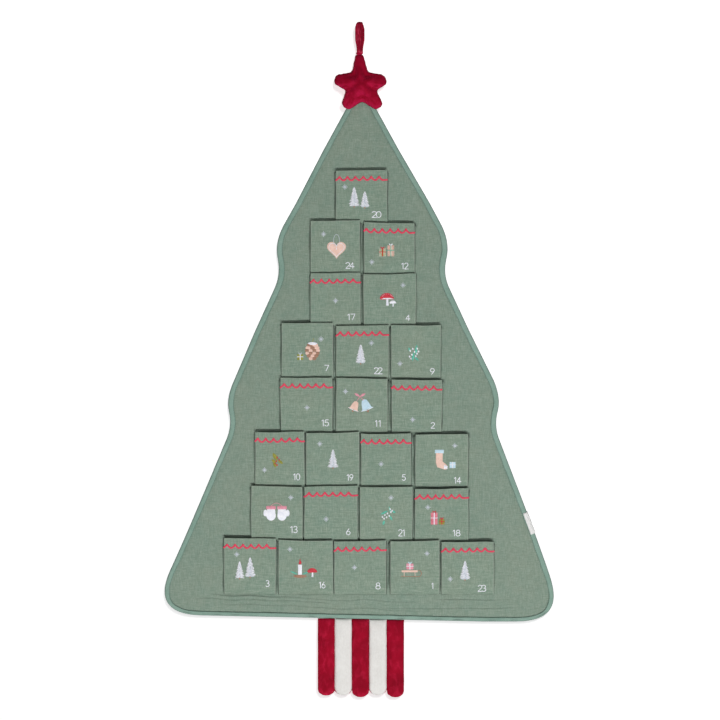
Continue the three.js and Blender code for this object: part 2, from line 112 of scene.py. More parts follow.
# Pockets: left and right edge and mouth, in pixels of the photograph
POCKETS = {
    20: (335.8, 387.3, 170.3),
    24: (310.5, 360.0, 220.3), 12: (364.0, 414.7, 222.5),
    17: (310.3, 360.7, 273.0), 4: (363.4, 416.0, 273.8),
    7: (281.5, 333.1, 322.9), 22: (336.0, 388.8, 325.5), 9: (391.0, 441.0, 325.0),
    15: (280.3, 332.6, 377.7), 11: (336.0, 387.7, 378.5), 2: (391.7, 442.0, 379.7),
    10: (255.0, 304.4, 431.9), 19: (305.9, 359.4, 432.5), 5: (360.9, 411.2, 433.3),
    14: (415.2, 468.4, 434.3),
    13: (250.9, 302.5, 486.4), 6: (304.1, 357.7, 486.3), 21: (359.9, 412.7, 487.0),
    18: (414.9, 468.7, 488.5),
    3: (223.7, 275.8, 538.3), 16: (278.2, 333.0, 540.2), 8: (334.0, 386.3, 541.0),
    1: (390.3, 439.8, 540.9), 23: (441.5, 494.2, 542.1),
}
SCALLOPED = (20, 12, 17, 22, 15, 2, 10, 5, 6, 18, 3, 8, 23)
ROW_SPAN = 8  # mouths that lie within so many pixels form one row
POCKET_SWELL = 4.2 * MM  # how far a front stands out soon above its foot
POCKET_SLOPE = 4.6 * MM  # and how much further at its mouth
PLEAT_REACH = 2.2 * MM
PLEAT_SEWN = 1.7 * MM  # depth of a pleat's part against the tree
HEM_DEPTH = 8.2 * MM

# Star, its middle and back, and the loop on it
STAR_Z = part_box("star_front")[1].z - 48.1 * MM
STAR_BACK = BINDING_FRONT - GAP
STAR_CROWN = 12.6 * MM  # of its front
STAR_SWELL = 4.3 * MM  # of its back
STAR_VOXEL = 2.2 * MM
STAR_PRESSURE = 8.0
STAR_RELIEF = 2.5 * MM
LOOP_LEFT = -2.1 * MM  # the tape hangs to the left of the hook point
LOOP_LENGTH = 46.5 * MM

# Trunk strips: their edges and ends, in pixels of the photograph
STRIP_EDGES = (317.7, 334.6, 351.85, 369.1, 386.7, 404.1)
STRIP_ENDS = (696, 695.7, 697.6, 695.6, 697.8)
STRIP_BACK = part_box("trunk_strip_1")[1].y
STRIP_CROWN = 8 * MM
TRUNK_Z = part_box("trunk_back")[1].z - 1.5 * MM


def mm(*values):
    """Sizes in millimetres, as an array in metres."""
    return np.array(values, float) * MM


def arc_of(start, end, count):
    """Angles from one to another, both in degrees."""
    return np.radians(np.linspace(start, end, count))


def circle_of(count):
    """Angles right round, without the last one that would meet the first."""
    return arc_of(0, 360, count + 1)[:-1]


def stacked(*axes):
    """Points from their coordinates, any of which may be one for all."""
    return np.stack(np.broadcast_arrays(*axes), -1)


def seen(px, py, y):
    """x and z of a point at depth y that the photograph shows at a pixel."""
    share = PIXEL * (CAMERA_AWAY + y) / CAMERA_AWAY
    return CAMERA_X + (px - PHOTO_SIDE / 2) * share, CAMERA_Z - (py - PHOTO_SIDE / 2) * share


def smooth(value, low, high):
    """0 below one limit and 1 above the other, with a soft step between them."""
    share = np.clip((value - low) / (high - low), 0, 1)
    return share * share * (3 - 2 * share)


def within(value, low, high, outside, inside):
    """1 between two limits, fading from so far inside each to so far outside it."""
    rise = smooth(value, low - outside, low + inside)
    return rise * (1 - smooth(value, high - inside, high + outside))


def bell(value, width):
    """A soft hump: 1 at 0, and about a third at its width on both sides."""
    return np.exp(-((value / width) ** 2))


def ripple(x, z, length, seed, count=10):
    """Soft seeded waves of about a length, mostly from -1 to 1."""
    dice = np.random.default_rng(seed)
    total = np.zeros_like(x, dtype=float)
    for _ in range(count):
        angle, phase = dice.uniform(0, 2 * np.pi, 2)
        steps = 2 * np.pi / (length * dice.uniform(0.7, 1.5))
        total += np.sin(steps * (x * np.cos(angle) + z * np.sin(angle)) + phase)
    return total / np.sqrt(count)


# Shader values

def connect(socket, value):
    if isinstance(value, Value):
        socket.id_data.links.new(value.socket, socket)
    else:
        socket.default_value = value


class Value:
    """A number that varies over a surface. Arithmetic on it adds Math nodes."""

    def __init__(self, socket):
        self.socket = socket

    def maths(self, operation, *values):
        node = self.socket.id_data.nodes.new("ShaderNodeMath")
        node.operation = operation
        for socket, value in zip(node.inputs, values):
            connect(socket, value)
        return Value(node.outputs[0])

    def __add__(self, other):
        return self.maths("ADD", self, other)

    def __sub__(self, other):
        return self.maths("SUBTRACT", self, other)

    def __rsub__(self, other):
        return self.maths("SUBTRACT", other, self)

    def __mul__(self, other):
        return self.maths("MULTIPLY", self, other)

    __radd__ = __add__
    __rmul__ = __mul__

    def sine(self):
        return self.maths("SINE", self)


class Finish:
    """A material under way: its principled shader, and one method for any other node."""

    def __init__(self, name, **uniform):
        self.material = bpy.data.materials.new(name)
        self.material.use_nodes = True
        self.tree = self.material.node_tree
        self.shader = self.tree.nodes["Principled BSDF"]
        for key, value in uniform.items():
            socket = key.replace("_", " ").title().replace("Ior", "IOR")
            self.shader.inputs[socket].default_value = value
        self.place = self.node("TexCoord", output="Object")

    def node(self, kind, settings=None, sockets=None, output=0):
        made = self.tree.nodes.new("ShaderNode" + kind)
        for key, value in (settings or {}).items():
            setattr(made, key, value)
        for key, value in (sockets or {}).items():
            connect(made.inputs[key], value)
        return Value(made.outputs[output])

    def parts(self, vector):
        node = self.node("SeparateXYZ", None, {0: vector}).socket.node
        return [Value(socket) for socket in node.outputs]

    def axes(self):
        return self.parts(self.place)

    def normal(self):
        return self.parts(self.node("TexCoord", output="Normal"))

    def attribute(self, name):
        return self.node("Attribute", {"attribute_name": name}, None, "Fac")

    def noise(self, waves, detail=2.0, distortion=0.0):
        """Noise with so many waves to the metre, one number or one each along x, y and z."""
        scale = waves if isinstance(waves, tuple) else (waves, waves, waves)
        place = self.node("Mapping", None, {"Vector": self.place, "Scale": scale})
        look = {"Vector": place, "Scale": 1.0, "Detail": detail, "Distortion": distortion}
        return self.node("TexNoise", None, look)

    def mix(self, factor, first, second):
        return self.node("Mix", {"data_type": "RGBA"}, {0: factor, 6: first, 7: second}, 2)

    def paint(self, colour):
        connect(self.shader.inputs["Base Color"], colour)

    def raise_by(self, height, distance, strength=1.0):
        bump = {"Height": height, "Distance": distance * MM, "Strength": strength}
        connect(self.shader.inputs["Normal"], self.node("Bump", None, bump))


def rgb(red, green, blue):
    """A colour as the shader takes it, from its everyday values up to 255."""
    def linear(value):
        value /= 255
        return value / 12.92 if value <= 0.04045 else ((value + 0.055) / 1.055) ** 2.4
    return (linear(red), linear(green), linear(blue), 1.0)


def waves_of(pitch):
    """What a length is multiplied by, for a sine with this pitch in mm."""
    return 2 * math.pi / (pitch * MM)


# Finishes

# Colour of the painted shade in the linen: behind pocket mouths, in creases and pleats and along
# pocket feet.
DEEP_SHADE = rgb(44, 58, 50)


def linen_finish(name, cool, warm, light, streak):
    """Plain-woven linen with slubs both ways, cloudy in tone; painted highlight along folds,
    painted shade by attribute.
    """
    finish = Finish(name, roughness=0.92, sheen_weight=0.12, sheen_roughness=0.5)
    x, y, z = finish.axes()
    steps = waves_of(0.62)
    weave = ((x + y) * steps).sine() * (z * steps).sine()
    slubs = finish.noise((90, 90, 1000)) + finish.noise((1000, 1000, 90)) - 1
    long_weft = finish.noise((14, 14, 620))
    clouds, patches, grain = finish.noise(9, 3), finish.noise(70, 3), finish.noise(700, 1)
    tone = finish.mix((clouds - 0.5) * 1.0 + (patches - 0.5) * 1.0 + 0.4, cool, warm)
    gleam = slubs * 1.2 + (grain - 0.5) * 0.7 + (long_weft - 0.5) * streak + 0.25
    # The fold attribute paints a highlight along turned edges, and the shade attribute paints shade
    # in DEEP_SHADE.
    folded = finish.mix(finish.attribute("fold") * 0.7, finish.mix(gleam, tone, light), light)
    finish.paint(finish.mix(finish.attribute("shade"), folded, DEEP_SHADE))
    finish.raise_by(weave * 0.22 + slubs * 1.2 + long_weft * 0.5, 0.35, 0.8)
    return finish.material


def binding_finish():
    """Twilled cotton, with painted shade where it rolls over the edge."""
    finish = Finish("binding cotton", roughness=0.85, sheen_weight=0.15, sheen_roughness=0.5)
    x, y, z = finish.axes()
    steps = waves_of(0.5)
    weave = ((x + z) * steps).sine() * ((x - z + y) * steps).sine()
    clouds, streaks = finish.noise(30, 3), finish.noise(300)
    tone = finish.mix((clouds - 0.5) * 2 + 0.5, rgb(118, 150, 136), rgb(138, 167, 154))
    colour = finish.mix((streaks - 0.5) * 0.8 + 0.2, tone, rgb(152, 179, 164))
    # Painted shade: darker where the surface turns edge-on to the front.
    forward = finish.normal()[1]
    painted_rim_shade = 1 - forward * forward
    finish.paint(finish.mix(painted_rim_shade * painted_rim_shade * 0.75, colour, rgb(74, 94, 88)))
    finish.raise_by(weave * 0.2 + streaks * 0.8, 0.3, 0.8)
    return finish.material


def velvet_finish(name, deep, mid, bright, mottling,
                  nap_size=(44, 44, 26), brush_size=(130, 130, 80), lift=0.7, sheen=0.6):
    """Short pile brushed this way and that, with painted sheen on its rims and painted highlight,
    by lift, where it faces down.
    """
    finish = Finish(name, roughness=0.85, specular_ior_level=0.12, sheen_weight=sheen,
                    sheen_roughness=0.3, sheen_tint=(1.0, 0.06, 0.2, 1.0))
    nap, brushed = finish.noise(nap_size, 3, 1.0), finish.noise(brush_size, 3, 0.6)
    pile = finish.noise(1300, 1)
    # Painted light: edge adds a painted sheen where the surface turns edge-on, and under a painted
    # highlight on faces turned down.
    _, forward, upward = finish.normal()
    edge = 1 - forward.maths("ABSOLUTE", forward)
    under = upward.maths("MINIMUM", upward, 0.0) * -1
    lower = finish.mix((nap - 0.5) * 3 * mottling + 0.55, deep, mid)
    brightness = (brushed - 0.5) * 2 * mottling + (pile - 0.5) * 0.6 + edge * 0.3 + under * lift
    finish.paint(finish.mix(brightness, lower, bright))
    finish.raise_by(pile * 0.6 + brushed * 1.4, 0.5, 0.6)
    return finish.material


def rib_finish():
    """Ribbed cotton: fine cords down the strip with small loops between them."""
    finish = Finish("cream rib", roughness=0.9, sheen_weight=0.2, sheen_roughness=0.5)
    x, _, z = finish.axes()
    cords, loops = (x * waves_of(1.7)).sine(), (z * waves_of(1.1)).sine()
    fluff, clouds = finish.noise((420, 420, 260)), finish.noise(26)
    tone = finish.mix((clouds - 0.5) * 1.4 + 0.5, rgb(222, 219, 214), rgb(238, 236, 232))
    finish.paint(finish.mix((fluff - 0.5) * 0.9 + cords * 0.14 + 0.3, tone, rgb(250, 249, 246)))
    finish.raise_by(cords * 0.5 + loops * 0.14 + fluff * 0.7, 0.45, 0.8)
    return finish.material


def wadding_finish():
    finish = Finish("white wadding", roughness=1.0, sheen_weight=0.3)
    fluff = finish.noise(160, 5, 1.5)
    finish.paint(finish.mix(fluff, rgb(222, 220, 214), rgb(252, 251, 247)))
    finish.raise_by(fluff, 1.5)
    return finish.material


def tape_finish():
    finish = Finish("white tape", roughness=0.75, sheen_weight=0.1)
    x, y, z = finish.axes()
    twill = ((x + y + z) * waves_of(0.7)).sine()
    wear = finish.noise(240, 3)
    finish.paint(finish.mix(twill * 0.2 + wear * 0.8, rgb(250, 249, 246), rgb(255, 255, 254)))
    finish.raise_by(twill * 0.4 + wear * 0.6, 0.25)
    return finish.material


def thread_finish(name, shade, shine):
    """Embroidery cotton, with its fibres catching the light here and there."""
    finish = Finish("thread " + name, roughness=0.5, sheen_weight=0.25, sheen_roughness=0.3)
    fibres, batch = finish.noise(1500), finish.noise(260)
    bright = (fibres - 0.5) * 1.2 + (batch - 0.5) * 1.4 + 0.5
    finish.paint(finish.mix(bright, rgb(*shade), rgb(*shine)))
    finish.raise_by(fibres, 0.15)
    return finish.material


front_linen = linen_finish(
    "tree linen", rgb(114, 139, 124), rgb(130, 143, 126), rgb(158, 172, 158), 0.3)
pocket_linen = linen_finish(
    "pocket linen", rgb(113, 139, 123), rgb(128, 142, 124), rgb(162, 176, 160), 0.6)
back_linen = linen_finish(
    "back linen", rgb(116, 138, 119), rgb(129, 141, 122), rgb(156, 169, 152), 0.4)
binding_cotton = binding_finish()
strip_velvet = velvet_finish(
    "strip velvet", rgb(132, 1, 28), rgb(156, 4, 37), rgb(196, 30, 66), 0.95)
star_velvet = velvet_finish(
    "star velvet", rgb(136, 0, 30), rgb(158, 0, 40), rgb(212, 30, 84), 0.42,
    (110, 110, 26), lift=0.5, sheen=0.25)
# A darker copy of the velvet: painted shade for the star's sewn edge.
painted_shade_seam_velvet = velvet_finish("seam velvet, painted shade", rgb(84, 0, 18), rgb(112, 2, 28), rgb(166, 20, 52), 0.8)
loop_velvet = velvet_finish(
    "loop velvet", rgb(108, 2, 24), rgb(152, 9, 42), rgb(216, 64, 98), 1.3,
    (420, 420, 22), (260, 260, 30))
cream_rib = rib_finish()
white_wadding = wadding_finish()
white_tape = tape_finish()
THREADS = {name: thread_finish(name, shade, shine) for name, shade, shine in (
    ("white", (222, 224, 236), (252, 252, 255)),
    ("silver", (180, 188, 196), (210, 216, 224)),
    ("red", (196, 34, 66), (236, 74, 106)),
    ("berry", (178, 28, 44), (214, 56, 70)),
    ("pink", (206, 128, 146), (236, 170, 184)),
    ("peach", (222, 184, 168), (242, 212, 198)),
    ("brown", (142, 104, 84), (176, 136, 112)),
    ("olive", (122, 124, 36), (158, 156, 62)),
    ("aqua", (66, 164, 142), (110, 200, 178)),
    ("sky", (176, 206, 222), (214, 234, 244)),
    ("green", (104, 128, 106), (134, 156, 134)),
    ("moss", (78, 102, 88), (108, 132, 118)),
)}
THREAD_ORDER = list(THREADS)


# Meshes

def grid_faces(rows, columns, first=0):
    """Quads of a grid of points that runs row by row."""
    corner = first + np.arange((rows - 1) * columns).reshape(rows - 1, columns)[:, :-1].ravel()
    return np.stack([corner, corner + 1, corner + columns + 1, corner + columns], axis=1)


def ring_faces(rings, around, closed=False):
    """Quads between rings of points, each of them a loop. Closed, the last ring joins the first."""
    steps = np.arange(rings if closed else rings - 1)
    ring, after = (steps * around)[:, None], ((steps + 1) % rings * around)[:, None]
    near, far = np.arange(around)[None, :], (np.arange(around) + 1)[None, :] % around
    return np.stack([ring + near, ring + far, after + far, after + near], -1).reshape(-1, 4)


def make_piece(name, points, faces, *finishes, shades=None):
    mesh = bpy.data.meshes.new(name)
    points = np.asarray(points, float).reshape(-1, 3).tolist()
    mesh.from_pydata(points, [], [list(map(int, face)) for face in faces])
    for finish in finishes:
        mesh.materials.append(finish)
    if shades is not None:
        mesh.polygons.foreach_set("material_index", np.asarray(shades, np.int32))
    mesh.shade_smooth()
    mesh.update()
    piece = bpy.data.objects.new(name, mesh)
    bpy.context.scene.collection.objects.link(piece)
    return piece


def mark(piece, attribute, values):
    made = piece.data.attributes.new(attribute, "FLOAT", "POINT")
    made.data.foreach_set("value", np.asarray(values, np.float32).ravel())


def thicken(piece, thickness, offset):
    solid = piece.modifiers.new("cloth", "SOLIDIFY")
    solid.thickness, solid.offset, solid.use_even_offset = thickness, offset, False
    return piece


def face_out(piece):
    """Turns a closed mesh's faces outwards."""
    work = bmesh.new()
    work.from_mesh(piece.data)
    bmesh.ops.recalc_face_normals(work, faces=work.faces)
    work.to_mesh(piece.data)
    work.free()
    return piece


def closed_tube(name, rings, finish):
    """A closed piece from rings of points, with a face across both ends."""
    rings = np.asarray(rings)
    count, around = rings.shape[:2]
    last = (count - 1) * around
    faces = [*ring_faces(count, around), range(around), range(last, last + around)]
    return face_out(make_piece(name, rings, faces, finish))


# Tree outline

def eased(corners, steps=16):
    """A closed outline through corners (x, z, ease), each rounded over its ease."""
    points = []
    for i, (x, z, ease) in enumerate(corners):
        corner = np.array([x, z])
        ends = []
        for other in (corners[i - 1], corners[(i + 1) % len(corners)]):
            side = np.array(other[:2]) - corner
            length = np.linalg.norm(side)
            ends.append(corner + side / length * min(ease, 0.47 * length))
        t = np.linspace(0, 1, steps)[:, None]
        points.append((1 - t) ** 2 * ends[0] + 2 * t * (1 - t) * corner + t * t * ends[1])
    return np.concatenate(points)


def resampled(points, spacing, closed=True):
    """Points of a line moved along it to lie evenly, about so far apart."""
    line = np.vstack([points, points[:1]]) if closed else points
    along = np.concatenate([[0], np.cumsum(np.linalg.norm(np.diff(line, axis=0), axis=1))])
    count = max(2, int(round(along[-1] / spacing)))
    places = np.linspace(0, along[-1], count + 1)
    if closed:
        places = places[:-1]
    return stacked(*(np.interp(places, along, line[:, k]) for k in range(line.shape[1])))


def inward(outline):
    """Unit vectors into a clockwise outline."""
    along = np.roll(outline, -1, 0) - np.roll(outline, 1, 0)
    normal = stacked(along[:, 1], -along[:, 0])
    return normal / np.linalg.norm(normal, axis=1, keepdims=True)


right_side = [(half * MM, -APEX_DROP - drop * MM, ease * MM) for half, drop, ease in TREE_SIDE]
left_side = [(-x, z, ease) for x, z, ease in reversed(right_side)]
tree_outline = resampled(eased(right_side + left_side), OUTLINE_STEP)
tree_inward = inward(tree_outline)
tree_along = np.arange(len(tree_outline)) * OUTLINE_STEP
cloth_outline = tree_outline + tree_inward * CLOTH_INSET
cloth_top, cloth_bottom = cloth_outline[:, 1].max(), cloth_outline[:, 1].min()


def hang(points):
    """Moves points of the flat tree to where the hanging cloth has them."""
    points = np.array(points, float).reshape(-1, 3)
    rows = HOOK_PIXEL[1] - points[:, 2] / PIXEL
    low = 1 - smooth(points[:, 2], HEM_Z, HEM_Z + HEM_REACH)
    fall = (HEM_FALL + HEM_TILT * points[:, 0]) * low
    points[:, 0] += np.interp(rows, DRIFT_AT, DRIFT_BY) * PIXEL
    points[:, 2] -= np.where(points[:, 0] > 0, np.minimum(fall, HEM_FALL_MOST), fall)
    return points


def half_width(outline):
    """The half width of a symmetric outline at a height, as a function."""
    right = outline[outline[:, 0] >= 0]
    right = right[np.argsort(right[:, 1])]
    heights, first = np.unique(right[:, 1].round(5), return_index=True)
    widths = np.array([part.max() for part in np.split(right[:, 0], first[1:])])
    return lambda z: np.interp(z, heights, widths)


cloth_half = half_width(cloth_outline)


def cloth_grid(across, down, more_rows=()):
    """x, z and distance from the edge of a grid over the tree's cloth."""
    near_hem = cloth_bottom + mm(0.4, 0.9, 1.6, 2.6, 5.5, 7.5, 10, 13)
    even = np.linspace(cloth_bottom, cloth_top, down)
    rows = np.unique(np.concatenate([even, near_hem, more_rows]))[::-1]
    z = np.repeat(rows[:, None], across, 1)
    half = cloth_half(z)
    x = half * np.linspace(-1, 1, across)
    edge = np.minimum((half - np.abs(x)) * EDGE_SLOPE, np.minimum(z - cloth_bottom, cloth_top - z))
    return x, z, np.maximum(edge, 0)


# Pockets

class Pocket:
    """One pocket: where it hangs, and the level of its front at any x and z."""

    def __init__(self, number):
        self.number, self.name = number, f"pocket_{number:02d}"
        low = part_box(self.name)[0]
        self.lip, self.foot = low.y, low.z
        left, right, mouth = POCKETS[number]
        self.left, self.mouth = seen(left, mouth, self.lip)
        self.right = seen(right, mouth, self.lip)[0]
        self.height, self.width = self.mouth - self.foot, self.right - self.left
        self.middle = (self.left + self.right) / 2
        self.seed = 300 + number
        dice = np.random.default_rng(100 + number)
        self.lean = dice.uniform(-1, 1) * 0.9 * MM
        self.bow = dice.uniform(-0.3, 1) * 0.9 * MM
        self.gape = dice.uniform(-0.2, 1.8) * MM
        self.gape_at = dice.uniform(-0.8, 0.8)
        self.skew = dice.uniform(-0.5, 0.5) * MM
        self.room = {-1: PLEAT_REACH, 1: PLEAT_REACH}
        for other_left, other_right, other_mouth in POCKETS.values():
            if abs(other_mouth - mouth) < ROW_SPAN and other_left != left:
                side = 1 if other_left > left else -1
                free = (other_left - right if side > 0 else left - other_right) * PIXEL
                self.room[side] = min(self.room[side], max(free / 2 - 0.5 * MM, 0.2 * MM))

    def across(self, x):
        """-1 at the left edge, 1 at the right one."""
        return (x - self.middle) / (self.width / 2)

    def top(self, x):
        """How far the mouth's edge is from its mean level."""
        u = self.across(x)
        wave = ripple(x, 0, 40 * MM, self.seed) * 0.25 * MM
        return self.lean * u - self.bow * (1 - u * u) + wave

    def level(self, x, z):
        """y of the front's outer face."""
        h = np.maximum(z - self.foot, 0)
        share = np.clip(h / self.height, 0, 1)
        out = POCKET_SWELL * (1 - np.exp(-np.maximum(h - 1 * MM, 0) / (3.6 * MM)))
        out += POCKET_SLOPE * share
        gape = self.gape * bell(self.across(x) - self.gape_at, 0.6)
        out += gape * smooth(share, 0.45, 1) - 0.5 * MM * smooth(share, 0.5, 1)
        out += ripple(x, z, 34 * MM, self.seed + 40) * 0.3 * MM * smooth(share, 0.02, 0.3)
        out += ripple(x, z * 0.4, 15 * MM, self.seed + 80) * 0.07 * MM * smooth(share, 0, 0.2)
        return TREE_FRONT - GAP - POCKET_CLOTH - out

    def front(self):
        """The front: a doubled piece of linen, turned back along its sides and mouth."""
        near_edge = mm(0, 0.25, 0.6, 1.1, 1.8)
        spread = np.linspace(self.left + 3 * MM, self.right - 3 * MM, 30)
        xs = np.concatenate([self.left + near_edge, spread, (self.right - near_edge)[::-1]])
        rise = np.linspace(2.6 * MM, self.height - 3 * MM, 34)
        x, h = np.meshgrid(
            xs, np.concatenate([mm(0, 0.8, 1.6), rise, (self.height - near_edge)[::-1]]))
        share = h / self.height
        z = self.foot + h + self.top(x) * share
        sway = ripple(z, 0, 60 * MM, self.seed + 20) * 0.25 * MM * self.across(x)
        x = x + self.skew * (share - 0.5) + sway
        y = self.level(x, z)
        side = np.minimum(x - x.min(1, keepdims=True), x.max(1, keepdims=True) - x)
        rim = np.minimum(side, self.height - h + 0.6 * MM)
        turn = 1.3 * MM
        y += turn - np.sqrt(np.maximum(turn**2 - np.maximum(turn - rim, 0) ** 2, 0))
        faces = grid_faces(*x.shape)
        piece = make_piece(self.name + "_front", stacked(x, y, z), faces, pocket_linen)
        # Painted highlight along the turned edges and the hem's fold line, and painted shade along
        # the foot.
        hem = bell(self.height - h - HEM_DEPTH, 0.5 * MM)
        mark(piece, "fold", np.clip(bell(rim, 1.1 * MM) + 0.25 * hem, 0, 1))
        foot = 0.5 * bell(h, 1.3 * MM)
        mark(piece, "shade", foot * (0.6 + 0.4 * ripple(x, 0, 30 * MM, self.seed + 5)).clip(0, 1))
        return thicken(piece, POCKET_CLOTH, -1.0)

    def pleats(self):
        """Both side pleats, from the tree out past the pocket's edge and in behind its front."""
        hs = np.linspace(1.5 * MM, self.height - 2 * MM, 26)
        out = np.array([0.4, 0.7, 0.9, 1.0, 0.95, 0.75, 0.4, 0.1, -0.3, -0.5])
        # Painted shade in each pleat's recess, deepest beside the pocket's front and at the tree.
        dark = np.array([0.75, 0.35, 0.1, 0.0, 0.05, 0.3, 0.75, 0.95, 1.0, 1.0])
        back, near = TREE_FRONT - 0.05 * MM, TREE_FRONT - PLEAT_SEWN
        count = len(out)
        points, shades, faces = [], [], []
        for side, edge in ((-1, self.left), (1, self.right)):
            for h in hs:
                share = h / self.height
                front = self.level(edge, self.foot + h) + POCKET_CLOTH * 0.9
                y = np.concatenate([np.linspace(back, near, 4), np.linspace(near, front, 7)[1:]])
                fullness = min(1, share * 5) * (0.85 + 0.25 * math.sin(h * 110 + self.seed + side))
                reach = np.where(out > 0, out * fullness * self.room[side], out * PLEAT_REACH)
                x = edge + self.skew * (share - 0.5) + side * reach
                drop = 5 * MM * np.linspace(1, 0, count) * smooth(share, 0.6, 1)
                points.extend(stacked(x, y, self.foot + h - drop))
                shades.extend(dark * (0.58 + 0.3 * math.sin(h * 60 + self.seed)))
            faces.append(grid_faces(len(hs), count, len(hs) * count * (side > 0)))
        piece = make_piece(self.name + "_pleats", points, np.concatenate(faces), pocket_linen)
        mark(piece, "shade", shades)
        return thicken(piece, 0.5 * MM, 0.0)


pockets = {number: Pocket(number) for number in POCKETS}


# Tree cloths

def crease_lines(x, z):
    """Each crease's depth in mm at points of the linen, and how far off its line they lie."""
    wave = 1.2 * MM * ripple(x, 0, 70 * MM, 4)
    for px0, py0, px1, py1, depth in CREASES:
        (x0, z0), (x1, z1) = seen(px0, py0, 0), seen(px1, py1, 0)
        share = np.clip((x - x0) / (x1 - x0), 0, 1)
        off = (z - (z0 + (z1 - z0) * share) + wave) / (1.6 * MM)
        yield depth * within(x, x0, x1, 10 * MM, 15 * MM), off


def front_level(x, z, edge):
    """y of the tree's front linen."""
    back = 0.9 * MM * (1 - smooth(edge, 2.5 * MM, 11 * MM))
    back += (0.45 + 0.45 * ripple(x, z, 130 * MM, 1)) * MM * smooth(edge, 4 * MM, 40 * MM)
    pucker = np.sin(z / (1.9 * MM) + 2.5 * ripple(x, z, 60 * MM, 3)) * np.exp(-edge / (12 * MM))
    back += 0.16 * MM * (ripple(x, z, 28 * MM, 2) + pucker)
    for pocket in pockets.values():
        inside = within(x, pocket.left, pocket.right, 3 * MM, 6 * MM)
        hollow = (1.9 + 0.9 * ripple(x, 0, 45 * MM, pocket.seed + 160)) * MM
        back += hollow * inside * bell(z - pocket.mouth + 0.5 * MM, 4 * MM)
    for depth, off in crease_lines(x, z):
        back += depth * MM * off * bell(off, 1)
    return TREE_FRONT + np.maximum(back, -0.2 * MM)


def back_level(x, z, edge):
    """y of the tree's back linen, padded out behind its bound rim."""
    rim = BINDING_BACK - LINEN - GAP
    waves = (0.35 * ripple(x, z, 110 * MM, 11) + 0.12 * ripple(x, z, 30 * MM, 12) - 0.3) * MM
    return rim + (TREE_BACK - rim + waves) * smooth(edge, 3 * MM, 15 * MM)


def cloth_shade(x, z):
    """How deep in shade the linen lies, right behind each pocket's mouth and in its creases."""
    shade = np.zeros_like(x)
    for pocket in pockets.values():
        inside = within(x, pocket.left, pocket.right, 1 * MM, 2 * MM)
        thick = 1.1 + 1.0 * ripple(x, 0, 50 * MM, pocket.seed + 160)
        thick = thick.clip(1.05, 3.0) * MM
        above = z - pocket.mouth - pocket.top(x)
        band = smooth(above, -8 * MM, -3 * MM) * (1 - smooth(above, thick * 0.6, thick * 1.5))
        shade = np.maximum(shade, 0.66 * inside * band)
    for depth, off in crease_lines(x, z):
        shade = np.maximum(shade, 0.12 * depth * bell(1.5 * off, 1))
    return shade


def fine_rows():
    """Heights where the cloth's grid needs extra rows: at the pockets' mouths and the creases."""
    steps = mm(-1.5, 0, 0.8, 1.6, 2.6, 4)
    mouths = {round(pocket.mouth + step, 5) for pocket in pockets.values() for step in steps}
    upper, lower = (seen(0, row, 0)[1] for row in CREASE_ROWS)
    return sorted(mouths | set(np.arange(lower, upper, 0.8 * MM)))


def tree_cloth(name, level, grid, finish, offset):
    """The tree's front or back linen. Only the front has creases and pockets that shade it."""
    x, z, edge = cloth_grid(*grid)
    points = hang(stacked(x, level(x, z, edge), z))
    piece = make_piece(name, points, grid_faces(*x.shape), finish)
    if level is front_level:
        mark(piece, "shade", cloth_shade(x, z))
    return thicken(piece, LINEN, offset)


def tree_wadding():
    """The wadding between both cloths, as one closed slab."""
    x, z, edge = cloth_grid(100, 100, fine_rows())
    front = stacked(x, front_level(x, z, edge) + 1.6 * MM, z)
    back = stacked(x, back_level(x, z, edge) - 1.2 * MM, z)
    total = x.size
    index = np.arange(total).reshape(x.shape)
    rim = np.concatenate([index[0, :-1], index[:-1, -1], index[-1, :0:-1], index[:0:-1, 0]])
    after = np.roll(rim, -1)
    sides = np.stack([rim, after, after + total, rim + total], 1)
    faces = [grid_faces(*x.shape), grid_faces(*x.shape, total)[:, ::-1], sides]
    points = hang(np.stack([front, back]))
    return face_out(make_piece("tree_wadding_fill", points, np.concatenate(faces), white_wadding))


def binding_give():
    """How much more than usual the binding takes in, along the tree's outline."""
    rows = HOOK_PIXEL[1] - tree_outline[:, 1] / PIXEL
    at, wider = (120, 235, 270, 330, 560, 600, 612), (-0.1, 0.3, 0.9, 0.3, -0.3, -0.8, -1.7)
    return (np.interp(rows, at, wider) + 0.22 * ripple(tree_along, 0, 26 * MM, 21)) * MM


def binding():
    """The strip folded over the tree's edge, a little crowned and drawn in at its stitches."""
    flat, crown = mm(8.8, 8.2, 6.8, 5.0, 3.2), mm(0.35, 0.1, -0.12, -0.15, -0.05)
    turn = arc_of(-78, 78, 9)
    roll = stacked(2.4 * MM * (1 - np.cos(turn)), BINDING_MIDDLE + BINDING_DEEP * np.sin(turn))
    front = stacked(flat, BINDING_FRONT + crown)
    back = stacked(flat, BINDING_BACK - crown)[::-1]
    inner = roll - [0, BINDING_MIDDLE]
    inner = inner * [1, 1 - LINEN / BINDING_DEEP] + [LINEN * 0.9, BINDING_MIDDLE]
    inner = np.vstack([
        (flat[0], front[0][1] + LINEN), (flat[2], BINDING_FRONT + LINEN), inner,
        (flat[2], BINDING_BACK - LINEN), (flat[0], back[-1][1] - LINEN),
    ])
    section = np.vstack([front, roll, back, inner[::-1]])
    pull = binding_give()
    wave = np.sin(tree_along / (2.1 * MM) + 2 * ripple(tree_along, 0, 50 * MM, 22))
    rings = []
    for distance, y in section:
        give = pull * (distance > 4 * MM)
        place = tree_outline + tree_inward * (distance + give)[:, None]
        puffed = 3 * MM < distance < 8 * MM
        lift = 0.16 * MM * wave * np.sign(y - BINDING_MIDDLE) * puffed
        rings.append(stacked(place[:, 0], y + lift, place[:, 1]))
    faces = ring_faces(len(tree_outline), len(section), closed=True)
    return face_out(make_piece("binding", hang(np.stack(rings, 1)), faces, binding_cotton))


